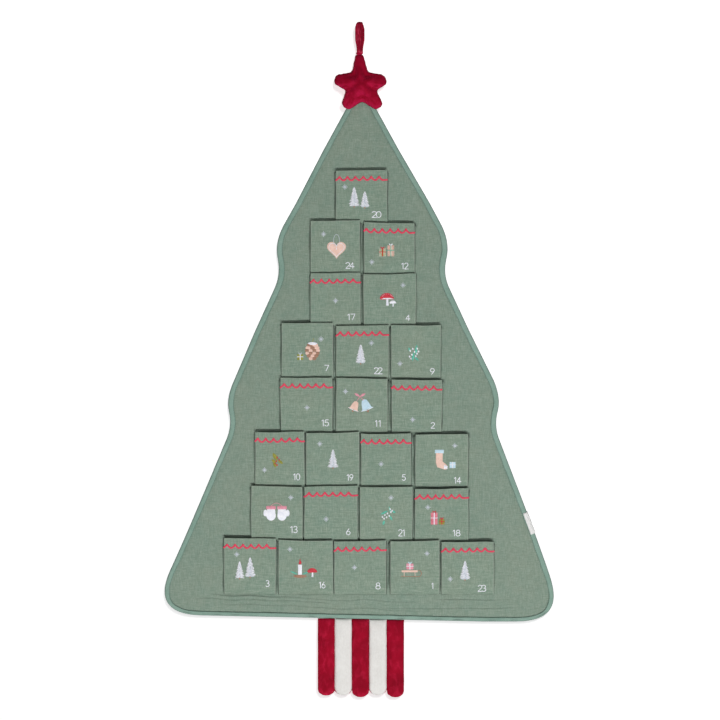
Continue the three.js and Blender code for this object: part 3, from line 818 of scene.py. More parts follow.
def stitches(name, path, outwards, length, radius, colour):
    """Small stitches end to end along a path of points, each a low arch of thread."""
    step = np.diff(path, axis=0)
    along = step / np.linalg.norm(step, axis=1, keepdims=True)
    across = np.cross(along, outwards[:-1])[:, None, None]
    t = np.array([-1, -0.75, 0, 0.75, 1])[:, None, None] * length / 2
    rise = np.array([-0.5, 0.6, 1, 0.6, -0.5])[:, None, None]
    turn = np.radians([-90, -30, 30, 90])[:, None]
    lift = (rise + np.cos(turn)) * radius
    points = path[:-1, None, None] + along[:, None, None] * t
    points = points + outwards[:-1, None, None] * lift + across * np.sin(turn) * radius
    faces = np.concatenate([grid_faces(5, 4, i * 20) for i in range(len(step))])
    return make_piece(name, points, faces, THREADS[colour])


def edge_stitching():
    """The line of stitches that holds the binding, on the front and on the back."""
    inset = (BINDING_STITCHES_IN + binding_give())[:, None]
    places = resampled(tree_outline + tree_inward * inset, 3 * MM)
    made = []
    for name, level, side in (("front", BINDING_FRONT, -1), ("back", BINDING_BACK, 1)):
        path = hang(stacked(places[:, 0], level + side * 0.12 * MM, places[:, 1]))
        outwards = np.tile([0.0, side, 0.0], (len(path), 1))
        name = "edge_stitching_" + name
        made.append(stitches(name, path, outwards, 2.5 * MM, 0.3 * MM, "moss"))
    return made


def side_tag():
    """The short tape folded over the binding, low on the right."""
    low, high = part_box("side_tag")
    waist, hem = np.array(right_side[4][:2]), np.array(right_side[5][:2])
    along = (hem - waist) / np.linalg.norm(hem - waist)
    into = np.array([along[1], -along[0]])
    drop = waist[1] - (low.z + high.z) / 2 - 3 * MM
    middle = waist + (hem - waist) * (drop / (waist[1] - hem[1]))
    deep = BINDING_DEEP + 0.75 * MM
    flat = mm(7.0, 5.5, 4.0)
    turn = arc_of(-75, 75, 9)
    section = np.vstack([
        stacked(flat, BINDING_MIDDLE - deep - 0.02 * MM),
        stacked(1.4 * MM * (1 - np.cos(turn)) - 0.8 * MM, BINDING_MIDDLE + deep * np.sin(turn)),
        stacked(flat[::-1], BINDING_MIDDLE + deep + 0.02 * MM),
    ])
    points = []
    for place in np.linspace(-17.5, 17.5, 18) * MM:
        x, z = (middle + along * place + into * section[:, :1]).T
        wave = 0.12 * MM * math.sin(place * 300) * np.sign(section[:, 1] - BINDING_MIDDLE)
        points.append(stacked(x, section[:, 1] + wave, z))
    faces = grid_faces(len(points), len(section))
    return thicken(make_piece("tag", hang(points), faces, white_tape), 0.5 * MM, 0.0)


# Star and loop

def star_outline():
    """The flat star: blunt arms, with a pit between each pair."""
    def polar(radius, degrees):
        angle = math.radians(degrees)
        return np.array([math.cos(angle), math.sin(angle)]) * radius

    def pit(degrees):
        return (*polar(24.4, degrees), 5)

    def blunt(radius, degrees, half):
        tip = polar(radius, degrees)
        return [(*(tip + polar(side * half, degrees + 90)), 5.8) for side in (1, -1)]

    upper, lower = blunt(40.8, 14.2, 7), blunt(43.4, -51.6, 6.8)
    right = [(5.7, 48.1, 2.8), pit(60), *upper, pit(-18.4), *lower]
    left = [(-x, z, ease) for x, z, ease in reversed(right)]
    return resampled(eased(mm(*right, pit(-90), *left)), 1.2 * MM)


def star_lean(z):
    """How far the star hangs to the right, at heights from its middle."""
    return np.interp(z, mm(-40, -8, 12, 48), mm(2.8, 0.6, -1.0, -2.2))


def star_seam(z):
    """y of the star's seam, which goes back towards the wall above the tree's apex."""
    rise = smooth(z, -APEX_DROP + 6 * MM, -APEX_DROP + 36 * MM)
    return (STAR_BACK - 2.6 * MM) * (1 - rise)


def star_rings(side, outline):
    """Rings from the star's middle to its rim: side -1 is the crowned front, 1 the back."""
    share = np.sin(np.linspace(0.05, 1, 30) * math.pi / 2)[:, None]
    flat_x, flat_z = outline.T
    x, z = flat_x * share, flat_z * share
    seam = star_seam(STAR_Z + z)
    dome = np.sqrt(np.maximum(1 - share**2.6, 0)) ** 0.9
    reach = np.hypot(flat_x, flat_z) / (48 * MM)
    plump = dome * (1 - 0.2 * reach * share**2)
    gather = np.sin(np.arctan2(flat_z, flat_x) * 31 + 2 * ripple(x, z, 20 * MM, 31))
    gather = gather * smooth(share, 0.55, 0.93) * dome
    crumple = ripple(x, z, 22 * MM, 32) * 0.5 + ripple(x, z, 9 * MM, 33) * 0.26
    if side < 0:
        y = seam - STAR_CROWN * plump - (1.2 * dome + 0.5 * gather + crumple * dome) * MM
    else:
        free = seam + STAR_SWELL * plump + (1.2 * dome + 0.3 * gather) * MM
        lift = smooth(STAR_Z + z, -APEX_DROP + 8 * MM, -APEX_DROP + 28 * MM)
        y = np.minimum(free, STAR_BACK + (BINDING_BACK - STAR_BACK) * lift)
    return stacked(x + star_lean(z), y, STAR_Z + z), share[:, 0]


def capped(rings):
    """Points and faces of a sheet of rings, closed at its middle."""
    count, around = rings.shape[:2]
    points = np.concatenate([rings.reshape(-1, 3), rings[0].mean(0).reshape(1, 3)])
    cap = [(len(points) - 1, (i + 1) % around, i) for i in range(around)]
    return points, list(ring_faces(count, around)) + cap


def blown_up(points, faces, voxel, pressure, frames=20):
    """A closed bag of cloth filled by pressure, as a surface that rays can be cast at."""
    bag = make_piece("bag", points, faces, star_velvet)
    remesh = bag.modifiers.new("even", "REMESH")
    remesh.mode, remesh.voxel_size = "VOXEL", voxel
    scene = bpy.context.scene
    even = bag.evaluated_get(bpy.context.evaluated_depsgraph_get())
    bag.data = bpy.data.meshes.new_from_object(even)
    bag.modifiers.clear()
    cloth = bag.modifiers.new("fill", "CLOTH").settings
    cloth.quality, cloth.mass = 6, 0.05
    cloth.effector_weights.gravity = 0
    cloth.use_pressure, cloth.uniform_pressure_force = True, pressure
    cloth.tension_stiffness = cloth.compression_stiffness = 12
    cloth.shear_stiffness, cloth.bending_stiffness = 5, 0.1
    for frame_number in range(1, frames + 1):
        scene.frame_set(frame_number)
    full = bag.evaluated_get(bpy.context.evaluated_depsgraph_get()).to_mesh()
    corners = [vertex.co.copy() for vertex in full.vertices]
    surface = BVHTree.FromPolygons(corners, [tuple(face.vertices) for face in full.polygons])
    bpy.data.objects.remove(bag)
    scene.frame_set(1)
    return surface


def star_half(name, side, outline):
    """One half of the star. The front takes its relief from a bag that is blown up."""
    rings, shares = star_rings(side, outline)
    if side < 0:
        bag = [capped(half * [1, 0.8, 1]) for half in (rings, star_rings(1, outline)[0])]
        (front, front_faces), (back, back_faces) = bag
        faces = front_faces + [tuple(i + len(front) for i in face)[::-1] for face in back_faces]
        surface = blown_up(np.concatenate([front, back]), faces, STAR_VOXEL, STAR_PRESSURE)
        for ring, share in zip(rings, shares):
            free = 1 - smooth(share, 0.55, 0.96)
            for point in ring:
                hit = surface.ray_cast(Vector((point[0], -0.1, point[2])), Vector((0, 1, 0)))[0]
                if hit:
                    point[1] += np.clip(hit.y - point[1], -STAR_RELIEF, STAR_RELIEF) * free
    return make_piece(name, *capped(rings), star_velvet)


def star_seam_roll(outline):
    """The sewn edge, where both halves turn in against each other."""
    fine = resampled(outline, 1.0 * MM)
    normal = inward(fine)
    radius = (0.95 + 0.18 * ripple(np.arange(len(fine)) * MM, 0, 9 * MM, 35)) * MM
    turn = circle_of(8)
    out, up = radius[:, None] * np.cos(turn), radius[:, None] * np.sin(turn) * 1.15
    place_x, place_z = (fine + normal * 0.5 * MM).T[..., None]
    x = place_x - normal[:, :1] * out + star_lean(place_z)
    z = STAR_Z + place_z - normal[:, 1:] * out
    y = star_seam(STAR_Z + fine[:, 1:]) + up
    faces = ring_faces(len(fine), len(turn), closed=True)
    # Its darker velvet is painted shade.
    return face_out(make_piece("star_seam", stacked(x, y, z), faces, painted_shade_seam_velvet))


def star_stuffing(outline):
    """The star's stuffing, a little smaller all round than its velvet."""
    shares = np.sin(np.linspace(0.05, 1, 12) * math.pi / 2)
    rings = []
    for side, crown, run in ((-1, 7.6 * MM, shares), (1, 1.0 * MM, shares[-2::-1])):
        for share in run:
            x, z = (outline * 0.82 * share).T
            y = star_seam(STAR_Z + z) + side * crown * math.sqrt(max(1 - share**2.6, 0))
            rings.append(stacked(x + star_lean(z), y, STAR_Z + z))
    return closed_tube("star_stuffing", rings, white_wadding)


def hanging_loop():
    """The velvet tape: up the front, over the hook and down the back, off to the right."""
    top_turn, neck, neck_y, radius = 3.7 * MM, 12 * MM, 1.05 * MM, 5.4 * MM
    share = np.linspace(0, 1, 22)
    spread = share**3 * (share * (6 * share - 15) + 10)
    rise = -LOOP_LENGTH + neck + (LOOP_LENGTH - neck - top_turn) * share
    sewn = [[neck_y, -LOOP_LENGTH], [neck_y, -LOOP_LENGTH + neck / 2]]
    leg = np.vstack([sewn, stacked(neck_y + (radius - neck_y) * spread, rise)])
    angle = arc_of(0, 180, 19)[1:-1]
    fold = stacked(radius * np.cos(angle), -top_turn + radius * np.sin(angle))
    path = np.vstack([leg, fold, (leg * [-1, 1])[::-1]])
    along = np.gradient(path, axis=0)
    along /= np.linalg.norm(along, axis=1, keepdims=True)
    down = np.clip(-path[:, 1] / LOOP_LENGTH, 0, 1)
    behind = np.clip(path[:, 0] / neck_y, -1, 1) * smooth(-path[:, 1], -2 * MM, 8 * MM)
    behind *= 1 - 0.9 * smooth(down, 0.5, 0.85)
    over = np.clip((path[:, 1] + top_turn) / radius, 0, 1)
    wide = (12.0 - 2.4 * smooth(down, 0.5, 0.9)) * MM / 2
    wide *= 1 - 0.07 * smooth(path[:, 1], -9 * MM, -top_turn) - 0.34 * over**2.2
    section = circle_of(18)
    flat = np.sign(np.cos(section)) * np.abs(np.cos(section)) ** 0.6
    rings = []
    for i, (y, z) in enumerate(path):
        a = flat * wide[i]
        b = np.sin(section) * 0.9 * MM * (1 + 0.15 * math.sin(i * 1.3))
        tilt = np.sin(behind[i] * 0.12 + 0.05 * math.sin(i * 0.5))
        x = a + behind[i] * 1.4 * MM + LOOP_LEFT + 0.6 * MM
        rings.append(stacked(x, y + along[i, 1] * b - tilt * a * 0.5, z - along[i, 0] * b))
    return closed_tube("loop_tape", rings, loop_velvet)


def roll_of_cloth(name, length, radius, x, y, z, finish):
    """A soft roll along x, round at both ends."""
    xs = np.linspace(-length / 2, length / 2, max(6, int(length / (2 * MM))))
    turn = circle_of(12)
    soft = radius * (1 + 0.1 * ripple(xs, 0, 12 * MM, 51))
    soft = soft * np.clip((length / 2 - np.abs(xs)) / (0.8 * MM), 0.3, 1) ** 0.5
    ring_y, ring_z = np.cos(turn) * soft[:, None], np.sin(turn) * soft[:, None]
    return closed_tube(name, stacked(xs[:, None] + x, ring_y + y, ring_z + z), finish)


# Trunk

def strip_cover(index):
    """One padded strip, flat behind and rounded at its end, and its place and size."""
    depth = (STRIP_BACK - STRIP_CROWN) * 0.6
    left, _ = seen(STRIP_EDGES[index], 0, depth)
    right, bottom = seen(STRIP_EDGES[index + 1], STRIP_ENDS[index], depth)
    middle, half = (left + right) / 2, (right - left) / 2
    top = HEM_Z - HEM_FALL - HEM_TILT * middle - 0.3 * MM
    arc = bottom + half
    straight = [top - mm(0, 0.8, 2, 4, 7, 10, 14), np.linspace(top - 18 * MM, arc, 34)]
    turn = arc_of(8, 86, 13)
    rows = np.concatenate([*straight, arc - half * np.sin(turn)])
    closing = np.concatenate([np.ones(len(rows) - len(turn)), np.cos(turn)])
    swell = np.interp(top - rows, [0, 0.8 * MM, 2 * MM, 7 * MM, 14 * MM], [0.3, 0.5, 0.66, 0.9, 1])
    arch = arc_of(0, 180, 27)
    body = np.sin(arch) ** 0.5
    flat = np.full(len(arch) - 2, STRIP_BACK)
    rings = []
    for z, narrow, high in zip(rows, closing**0.84, STRIP_CROWN * swell * closing**0.5):
        wide = half * narrow * (1 + 0.012 * ripple(z, 0, 30 * MM, 60 + index))
        x = middle - wide * np.cos(arch)
        bumps = 0.28 * ripple(x, z, 22 * MM, 70 + index) + 0.12 * ripple(x, z, 8 * MM, 80 + index)
        y = STRIP_BACK - high * np.maximum(np.sin(arch), 0) ** 0.42 - bumps * MM * body
        rings.append(stacked(np.append(x, x[-2:0:-1]), np.append(y, flat), z))
    finish = cream_rib if index % 2 else strip_velvet
    return closed_tube(f"strip_{index + 1}_cover", rings, finish), (middle, half, top, bottom)


def strip_filling(index, middle, half, top, bottom):
    """The wadding in a strip, a little smaller all round than its cover."""
    turn = circle_of(20)
    rings = []
    for z in np.linspace(top - 6 * MM, bottom + 3 * MM, 30):
        narrow = math.sqrt(max(1 - max(0, (bottom + half - z) / half - 0.02) ** 2, 0.05))
        high = 2.4 * MM * min(1, 0.1 + (top - z) / (16 * MM)) * narrow**0.5
        x = middle + (half - 2.6 * MM) * narrow * np.cos(turn)
        rings.append(stacked(x, STRIP_BACK - 1.2 * MM - high - high * np.sin(turn), z))
    return closed_tube(f"strip_{index + 1}_filling", rings, white_wadding)


def trunk_backing(strips, left, right):
    """The velvet behind the strips, with a scallop below each of them."""
    x = np.linspace(left, right, 120)
    bottoms = np.full(len(x), 1.0)
    for middle, half, _, bottom in strips:
        share = np.clip(np.abs(x - middle) / half, 0, 1)
        scallop = bottom + 0.5 * MM + half * 0.62 * (1 - (1 - share**2.6) ** 0.45)
        below = np.abs(x - middle) <= half * 1.001
        bottoms = np.where(below, np.minimum(bottoms, scallop), bottoms)
    share = np.linspace(0, 1, 60)[:, None]
    z = TRUNK_Z + (bottoms - TRUNK_Z) * share
    x = np.broadcast_to(x, z.shape)
    wave = 0.35 * MM * (1 + ripple(x, z, 40 * MM, 91)) * smooth(share, 0, 0.2)
    points = stacked(x, STRIP_BACK + 0.3 * MM + VELVET - wave, z)
    piece = make_piece("trunk_backing", points, grid_faces(*z.shape), strip_velvet)
    return thicken(piece, VELVET, 1.0)


# Embroidery: widths, pitches and lifts of its threads are in mm

class Embroidery:
    """Threads laid on one pocket's front, gathered into one piece."""

    def __init__(self, pocket):
        self.pocket = pocket
        self.points, self.shades, self.count = [], [], 0

    def at(self, px, py):
        """x and z on the pocket's front of a pixel of the photograph."""
        level = self.pocket.level(*seen(px, py, self.pocket.lip))
        return np.array(seen(px, py, level))

    def threads(self, starts, ends, width, lift, colour):
        """Low arched threads from each start to its end."""
        starts, ends = np.atleast_2d(starts), np.atleast_2d(ends)
        step = ends - starts
        long = np.linalg.norm(step, axis=1)
        starts, step, long = (values[long > 0.2 * MM] for values in (starts, step, long))
        if not len(long):
            return
        t = np.array([0, 0.12, 0.5, 0.88, 1])[:, None]
        rise = np.array([-0.25, 0.75, 1, 0.75, -0.25])[:, None]
        turn = np.radians([-90, -35, 35, 90])
        centre = starts[:, None] + step[:, None] * t
        across = (stacked(-step[:, 1], step[:, 0]) / long[:, None])[:, None, None]
        flat = centre[:, :, None] + across * (np.sin(turn) * width * MM / 2)[:, None]
        x, z = flat[..., 0], flat[..., 1]
        high = (rise * lift + (np.cos(turn) - 0.3) * width * 0.4) * MM
        self.points.append(stacked(x, self.pocket.level(x, z) - high, z).reshape(-1, 3))
        self.shades += [THREAD_ORDER.index(colour)] * (12 * len(long))
        self.count += len(long)

    def fill(self, outline, angle, colour, pitch=0.45, lift=0.5):
        """Satin stitch: threads side by side across an outline, at an angle in degrees."""
        cos, sin = math.cos(math.radians(angle)), math.sin(math.radians(angle))
        a = np.asarray(outline, float) @ np.array([[cos, -sin], [sin, cos]])
        b = np.roll(a, -1, 0)
        low, high = a[:, 1].min(), a[:, 1].max()
        count = max(1, int((high - low) / (pitch * MM)))
        starts, ends = [], []
        for v in low + (np.arange(count) + 0.5) * (high - low) / count:
            crossed = (a[:, 1] <= v) != (b[:, 1] <= v)
            share = (v - a[crossed, 1]) / (b[crossed, 1] - a[crossed, 1])
            us = np.sort(a[crossed, 0] + share * (b[crossed, 0] - a[crossed, 0]))
            for u0, u1 in zip(us[::2], us[1::2]):
                starts.append((u0, v))
                ends.append((u1, v))
        if starts:
            back = np.array([[cos, sin], [-sin, cos]])
            self.threads(np.array(starts) @ back, np.array(ends) @ back, pitch * 1.15, lift, colour)

    def line(self, path, width, colour, pitch=0.42, lift=0.45, slant=0.35):
        """A satin line: short threads side by side across a path."""
        path = resampled(np.asarray(path, float), pitch * MM, closed=False)
        along = np.gradient(path, axis=0)
        along /= np.maximum(np.linalg.norm(along, axis=1, keepdims=True), 1e-9)
        across = (stacked(-along[:, 1], along[:, 0]) + along * slant) * width * MM / 2
        self.threads(path - across, path + across, pitch * 1.25, lift, colour)

    def piece(self, name):
        faces = np.concatenate([grid_faces(5, 4, i * 20) for i in range(self.count)])
        points = np.concatenate(self.points)
        made = make_piece(name, points, faces, *THREADS.values(), shades=self.shades)
        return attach(made, self.pocket.name)


class Figure:
    """A figure about a pixel of the photograph, drawn in units of its size in pixels."""

    def __init__(self, work, px, py, size):
        self.work, self.middle, self.unit = work, work.at(px, py), size * PIXEL

    def at(self, points):
        return self.middle + np.asarray(points, float) * self.unit

    def fill(self, outline, *stitch):
        self.work.fill(self.at(outline), *stitch)

    def line(self, path, *stitch):
        self.work.line(self.at(path), *stitch)


def oval(x, z, half_wide, half_high, start=0, end=360, steps=24):
    angle = arc_of(start, end, steps)
    return stacked(x + half_wide * np.cos(angle), z + half_high * np.sin(angle))


def oblong(x0, z0, x1, z1):
    return np.array([(x0, z0), (x1, z0), (x1, z1), (x0, z1)])


# Strokes of each digit in a cell 0.6 wide and 1 high
DIGITS = {
    "0": [oval(0.3, 0.5, 0.27, 0.5)],
    "1": [[(0.12, 0.8), (0.34, 1.0), (0.34, 0.0)]],
    "2": [np.vstack([oval(0.29, 0.73, 0.25, 0.27, 165, -40, 12), [(0.03, 0.0), (0.58, 0.0)]])],
    "3": [np.vstack([oval(0.28, 0.76, 0.24, 0.24, 150, -90, 12),
                     oval(0.28, 0.27, 0.28, 0.27, 90, -150, 14)])],
    "4": [[(0.42, 0.0), (0.42, 1.0), (0.02, 0.3), (0.6, 0.3)]],
    "5": [np.vstack([[(0.54, 1.0), (0.12, 1.0), (0.08, 0.58)],
                     oval(0.29, 0.32, 0.28, 0.32, 110, -150, 14)])],
    "6": [np.vstack([[(0.42, 1.0), (0.14, 0.6)], oval(0.3, 0.29, 0.27, 0.29, 150, -210, 18)])],
    "7": [[(0.03, 1.0), (0.57, 1.0), (0.2, 0.0)]],
    "8": [oval(0.3, 0.76, 0.22, 0.24, -90, 270, 16), oval(0.3, 0.27, 0.28, 0.27, 90, 450, 18)],
    "9": [np.vstack([oval(0.29, 0.71, 0.26, 0.29, -30, 330, 18), [(0.5, 0.5), (0.2, 0.0)]])],
}
# Left and right end, top and bottom of each number, in pixels of the photograph
NUMBERS = {
    20: (371.6, 381.3, 211.5, 217.5), 24: (345.5, 354.2, 262.5, 268.4),
    12: (400.8, 408.4, 263, 269), 17: (346.6, 355.3, 314, 320),
    4: (405.7, 410, 315, 320.5), 7: (324.5, 329, 365.2, 370.8),
    22: (373.9, 382.5, 367.6, 373.8), 9: (430, 434.7, 368.5, 374.3),
    15: (320.9, 328.8, 419.8, 426), 11: (374.5, 381.9, 420.3, 426.5),
    2: (430.7, 435, 422.5, 428.2), 10: (292.7, 300, 473.7, 480),
    19: (346.2, 353.3, 474.4, 480.4), 5: (402, 405.6, 474.6, 480.4),
    14: (453.3, 461, 477.2, 483.4), 13: (289.7, 297.5, 526.3, 532.7),
    6: (346.2, 350.3, 528.7, 534.7), 21: (398.3, 406, 529.6, 536),
    18: (452, 460.3, 530, 536), 3: (265.6, 269.4, 580.4, 586.6),
    16: (318.4, 325.3, 582, 588), 8: (375.7, 380.4, 582.8, 589),
    1: (431.2, 434.2, 583, 588.7), 23: (477.8, 486.2, 585.2, 591.4),
}


def sew_number(work):
    """The pocket's number, stroke by stroke."""
    left, right, top, bottom = NUMBERS[work.pocket.number]
    text = str(work.pocket.number)
    corner, far = work.at(left, bottom), work.at(right, top)
    across, high = far - corner
    wide = across / (len(text) - 0.28 * (len(text) - 1) / 2)
    for i, digit in enumerate(text):
        start = corner + [i * (across - wide) / max(len(text) - 1, 1), 0]
        for stroke in DIGITS[digit]:
            path = np.asarray(stroke, float) * [wide / 0.6, high] + start
            work.line(path, 1.2, "white", 0.42, 0.45, 0.2)


def sew_scallops(work):
    """A red line of swags right across the pocket, with six cusps."""
    pocket = work.pocket
    pitch, fall = 12.2 * MM, 5.6 * MM
    first, base = pocket.middle - 34.6 * MM + pocket.lean, pocket.mouth - 15.2 * MM
    x = np.arange(pocket.left - 0.4 * MM, pocket.right + 0.4 * MM, 0.3 * MM)
    step = (x - first) / pitch
    swag = np.abs(2 * (step - np.floor(step)) - 1) ** 1.9
    swag = np.where(step < 0, np.clip(1 + step * 1.8, 0, 1) ** 1.6, swag)
    swag = np.where(step > 5.5, 0.12 * (step - 5.5), swag)
    work.line(stacked(x, base + fall * swag + pocket.top(x) * 0.8), 2.8, "red", 0.5, 0.6, 0.12)
    cusp = mm((-1.6, -1.9), (1.6, -1.9), (1.1, 1.9), (-1.1, 1.9))
    for i in range(6):
        work.fill(cusp + [first + i * pitch, base + fall * 0.8], 0, "red", 0.45, 0.8)


def sew_flake(work, px, py):
    """A small snowflake: four long points, four short ones and a knot."""
    centre = work.at(px, py)
    for degrees, reach in ((0, 4.3), (45, 3.44), (90, 4.3), (135, 3.44)):
        step = oval(0, 0, reach * MM, reach * MM, degrees, degrees, 1)[0]
        work.threads(centre - step, centre + step, 1.0, 0.35, "silver")
    work.fill(oval(*centre, 1.7 * MM, 1.7 * MM, steps=9), 20, "silver", 0.45, 0.7)


def sew_tree(work, px, apex_py, base_py, wide_px):
    """A snowy fir: ragged tiers of slanting threads over a flat filling and a short trunk."""
    apex, base = work.at(px, apex_py), work.at(px, base_py)
    half = wide_px * PIXEL / 2
    high = apex[1] - base[1]
    dice = np.random.default_rng(int(px * 10))
    trunk = mm((-0.8, 1.0), (0.8, 1.0), (0.6, -2.2), (-0.6, -2.2))
    work.fill(base + trunk, 90, "brown", 0.5, 0.3)

    def reach(share):
        return half * (0.08 + 1.0 * share**0.8) * (0.82 + 0.26 * ((share * 5.4) % 1))

    shares = np.linspace(0, 1, 40)
    right = stacked([reach(share) * dice.uniform(0.6, 0.9) for share in shares], -high * shares)
    outline = np.vstack([apex + right, (apex + right * [-1, 1])[::-1]])
    work.fill(outline, 0, "silver", 0.5, 0.2)
    for share in np.arange(0.02, 0.97, 1.5 * MM / high):
        for side in (-1, 1):
            place = apex - [0, high * share]
            start = place + [side * dice.uniform(-0.1, 0.25) * reach(share), 0.8 * MM]
            out = side * reach(share + 0.03) * dice.uniform(0.95, 1.12)
            tip = place + [out, -dice.uniform(0.5, 1.5) * MM]
            work.threads(start, tip, 1.0, dice.uniform(0.6, 1.0), "white")


def sew_leaf(work, start, end, wide, colour):
    """A pointed leaf from one place to another."""
    start, end = np.asarray(start, float), np.asarray(end, float)
    along = end - start
    across = np.array([-along[1], along[0]]) / np.linalg.norm(along)
    t = np.linspace(0, 1, 9)[:, None]
    curve = across * np.sin(np.pi * t) ** 0.8 * wide * MM / 2
    outline = np.vstack([start + along * t + curve, (start + along * t - curve)[::-1]])
    angle = math.degrees(math.atan2(along[1], along[0])) + 62
    work.fill(outline, angle, colour, 0.45, 0.45)


def sew_gift(work, px0, py0, px1, py1, paper, ribbon, bow, stripe=None):
    """A wrapped box with a ribbon both ways and a bow on top."""
    (left, bottom), (right, top) = work.at(px0, py1), work.at(px1, py0)
    work.fill(oblong(left, bottom, right, top), 0, paper, 0.45, 0.4)

    def band(share, width, colour, lift):
        x = left + (right - left) * share
        work.line([(x, bottom), (x, top)], width, colour, 0.42, lift)

    for share in (0.1, 0.28, 0.72, 0.9) if stripe else ():
        band(share, 0.8, stripe, 0.6)
    band(0.5, 1.6, ribbon, 0.9)
    level = bottom + (top - bottom) * 0.55
    work.line([(left, level), (right, level)], 1.2, ribbon, 0.42, 0.9)
    knot = np.array([(left + right) / 2, top + 0.2 * MM])
    for side in (-1, 1):
        sew_leaf(work, knot, knot + mm(side * 3.0, 2.4), 1.9, bow)
        sew_leaf(work, knot, knot + mm(side * 2.2, -1.2), 1.1, bow)


def sew_sprig(work, px, py, leaves, berries, leaf_colour, berry_colour, berry=1.2):
    """A winter sprig: leaves and berries, placed in pixels from its middle."""
    for x0, y0, x1, y1, wide in leaves:
        start, end = work.at(px + x0, py + y0), work.at(px + x1, py + y1)
        sew_leaf(work, start, end, wide * 1.45, leaf_colour)
    for x, y in berries:
        outline = oval(*work.at(px + x, py + y), berry * MM, berry * 1.2 * MM)
        work.fill(outline, 30, berry_colour, 0.42, 0.9)


def sew_toadstool(work, px, py, size, cap, gills=True):
    """A toadstool with its foot at a pixel, its cap streaked down from the crown."""
    foot = Figure(work, px, py, size)
    foot.fill([(-0.1, 0), (0.12, 0), (0.09, 0.5), (-0.07, 0.5)], 0, "white", 0.45, 0.4)
    dome = oval(-0.02, 0.5, 0.56, 0.5, 4, 176, 18)
    foot.fill(np.vstack([dome, [(-0.42, 0.46), (0.4, 0.5)]]), 72, cap, 0.45, 0.6)
    if gills:
        for degrees in (28, 52, 76, 100, 124, 150):
            rim = oval(0, 0.52, 0.52, 0.38, degrees, degrees, 1)[0]
            streak = np.array([rim[0] * 0.25, 0.93]) * 0.55 + rim * 0.45
            work.threads(foot.at(streak), foot.at(rim), 0.9, 1.1, "pink")
        under = [(-0.5, 0.5), (0.52, 0.52), (0.28, 0.62), (-0.28, 0.6)]
        foot.fill(under, 15, "white", 0.42, 0.8)


def sew_heart(work, px, py, size):
    """A gingerbread heart with an iced edge, on a loop of ribbon."""
    heart = Figure(work, px, py, size)
    t = np.linspace(0, 2 * np.pi, 40)
    z = (13 * np.cos(t) - 5 * np.cos(2 * t) - 2 * np.cos(3 * t) - np.cos(4 * t)) / 32
    outline = stacked(0.5 * np.sin(t) ** 3, z)
    heart.fill(outline, 35, "peach", 0.5, 0.5)
    heart.line(outline * 0.8, 0.9, "white", 0.42, 1.0)
    heart.line(oval(0, 0.42, 0.16, 0.34, -60, 240, 20), 0.8, "silver")
    sew_leaf(work, heart.at((0, -0.05)), heart.at((0, 0.2)), 2.4, "white")


def sew_cone(work, px, py, size):
    """A fir cone in rows of scales, with a little snow on top."""
    cone = Figure(work, px, py, size)
    for row, count in enumerate((2, 3, 4, 4, 3, 2)):
        half = 0.36 * math.sin(math.pi * (0.25 + row * 0.12)) + 0.02
        for k in range(count):
            x = (k - (count - 1) / 2) * 2 * half / count
            colour = "peach" if (row + k) % 2 else "brown"
            scale = oval(x, 0.36 - row * 0.14, half / count * 1.15, 0.1)
            cone.fill(scale, 90, colour, 0.45, 0.5 + 0.08 * row)
    cone.fill(oval(0, 0.44, 0.26, 0.08), 10, "white", 0.42, 0.9)
    cone.line([(0, 0.5), (0.05, 0.7)], 0.9, "olive", 0.5)


def sew_bell(work, px, py, size, colour, tilt):
    """A bell that hangs at a tilt, with its clapper."""
    shape = Figure(work, px, py, size)
    cos, sin = math.cos(math.radians(tilt)), math.sin(math.radians(tilt))
    spin = np.array([[cos, sin], [-sin, cos]])
    side = np.array([(0.5, -0.42), (0.38, -0.3), (0.3, 0.1), (0.2, 0.36), (0, 0.46)])
    outline = np.vstack([side, (side * [-1, 1])[::-1]])
    shape.fill(outline @ spin, tilt + 90, colour, 0.48, 0.6)
    shape.line(np.array([(-0.5, -0.4), (0, -0.47), (0.5, -0.4)]) @ spin, 1.0, "white", 0.5)
    shape.fill(oval(0, -0.56, 0.09, 0.09) @ spin, 0, "brown", 0.4, 0.7)


def sew_bow(work, px, py):
    """The bow between both bells, with an end that falls to each."""
    knot = work.at(px, py)
    for side in (-1, 1):
        sew_leaf(work, knot, work.at(px + side * 5.6, py - 3.1), 3.6, "pink")
        work.line([knot, work.at(px + 0.4 + side * 3.4, py + 4.1)], 0.9, "pink")


def sew_mitten(work, px, py, size, side):
    """A mitten with a knitted cuff, its thumb to one side."""
    cuff = Figure(work, px, py, size)
    hand = np.vstack([[(-0.26, 0)], oval(0, -0.42, 0.3, 0.34, 180, 360, 14), [(0.26, 0)]])
    cuff.fill(hand * [side, 1], 90, "white", 0.48, 0.6)
    thumb = oval(0.36, -0.26, 0.13, 0.22)
    cuff.fill(thumb * [side, 1], 90 - 25 * side, "white", 0.45, 0.5)
    cuff.fill(oblong(-0.3, -0.02, 0.3, 0.2), 90, "pink", 0.45, 0.8)


def sew_cord(work, left_px, right_px, py):
    """The cord between both mittens."""
    left, right = work.at(left_px, py), work.at(right_px, py)
    t = np.linspace(0, 1, 16)[:, None]
    work.line(left + (right - left) * t + [0, 4.5 * MM] * np.sin(np.pi * t), 0.8, "pink")


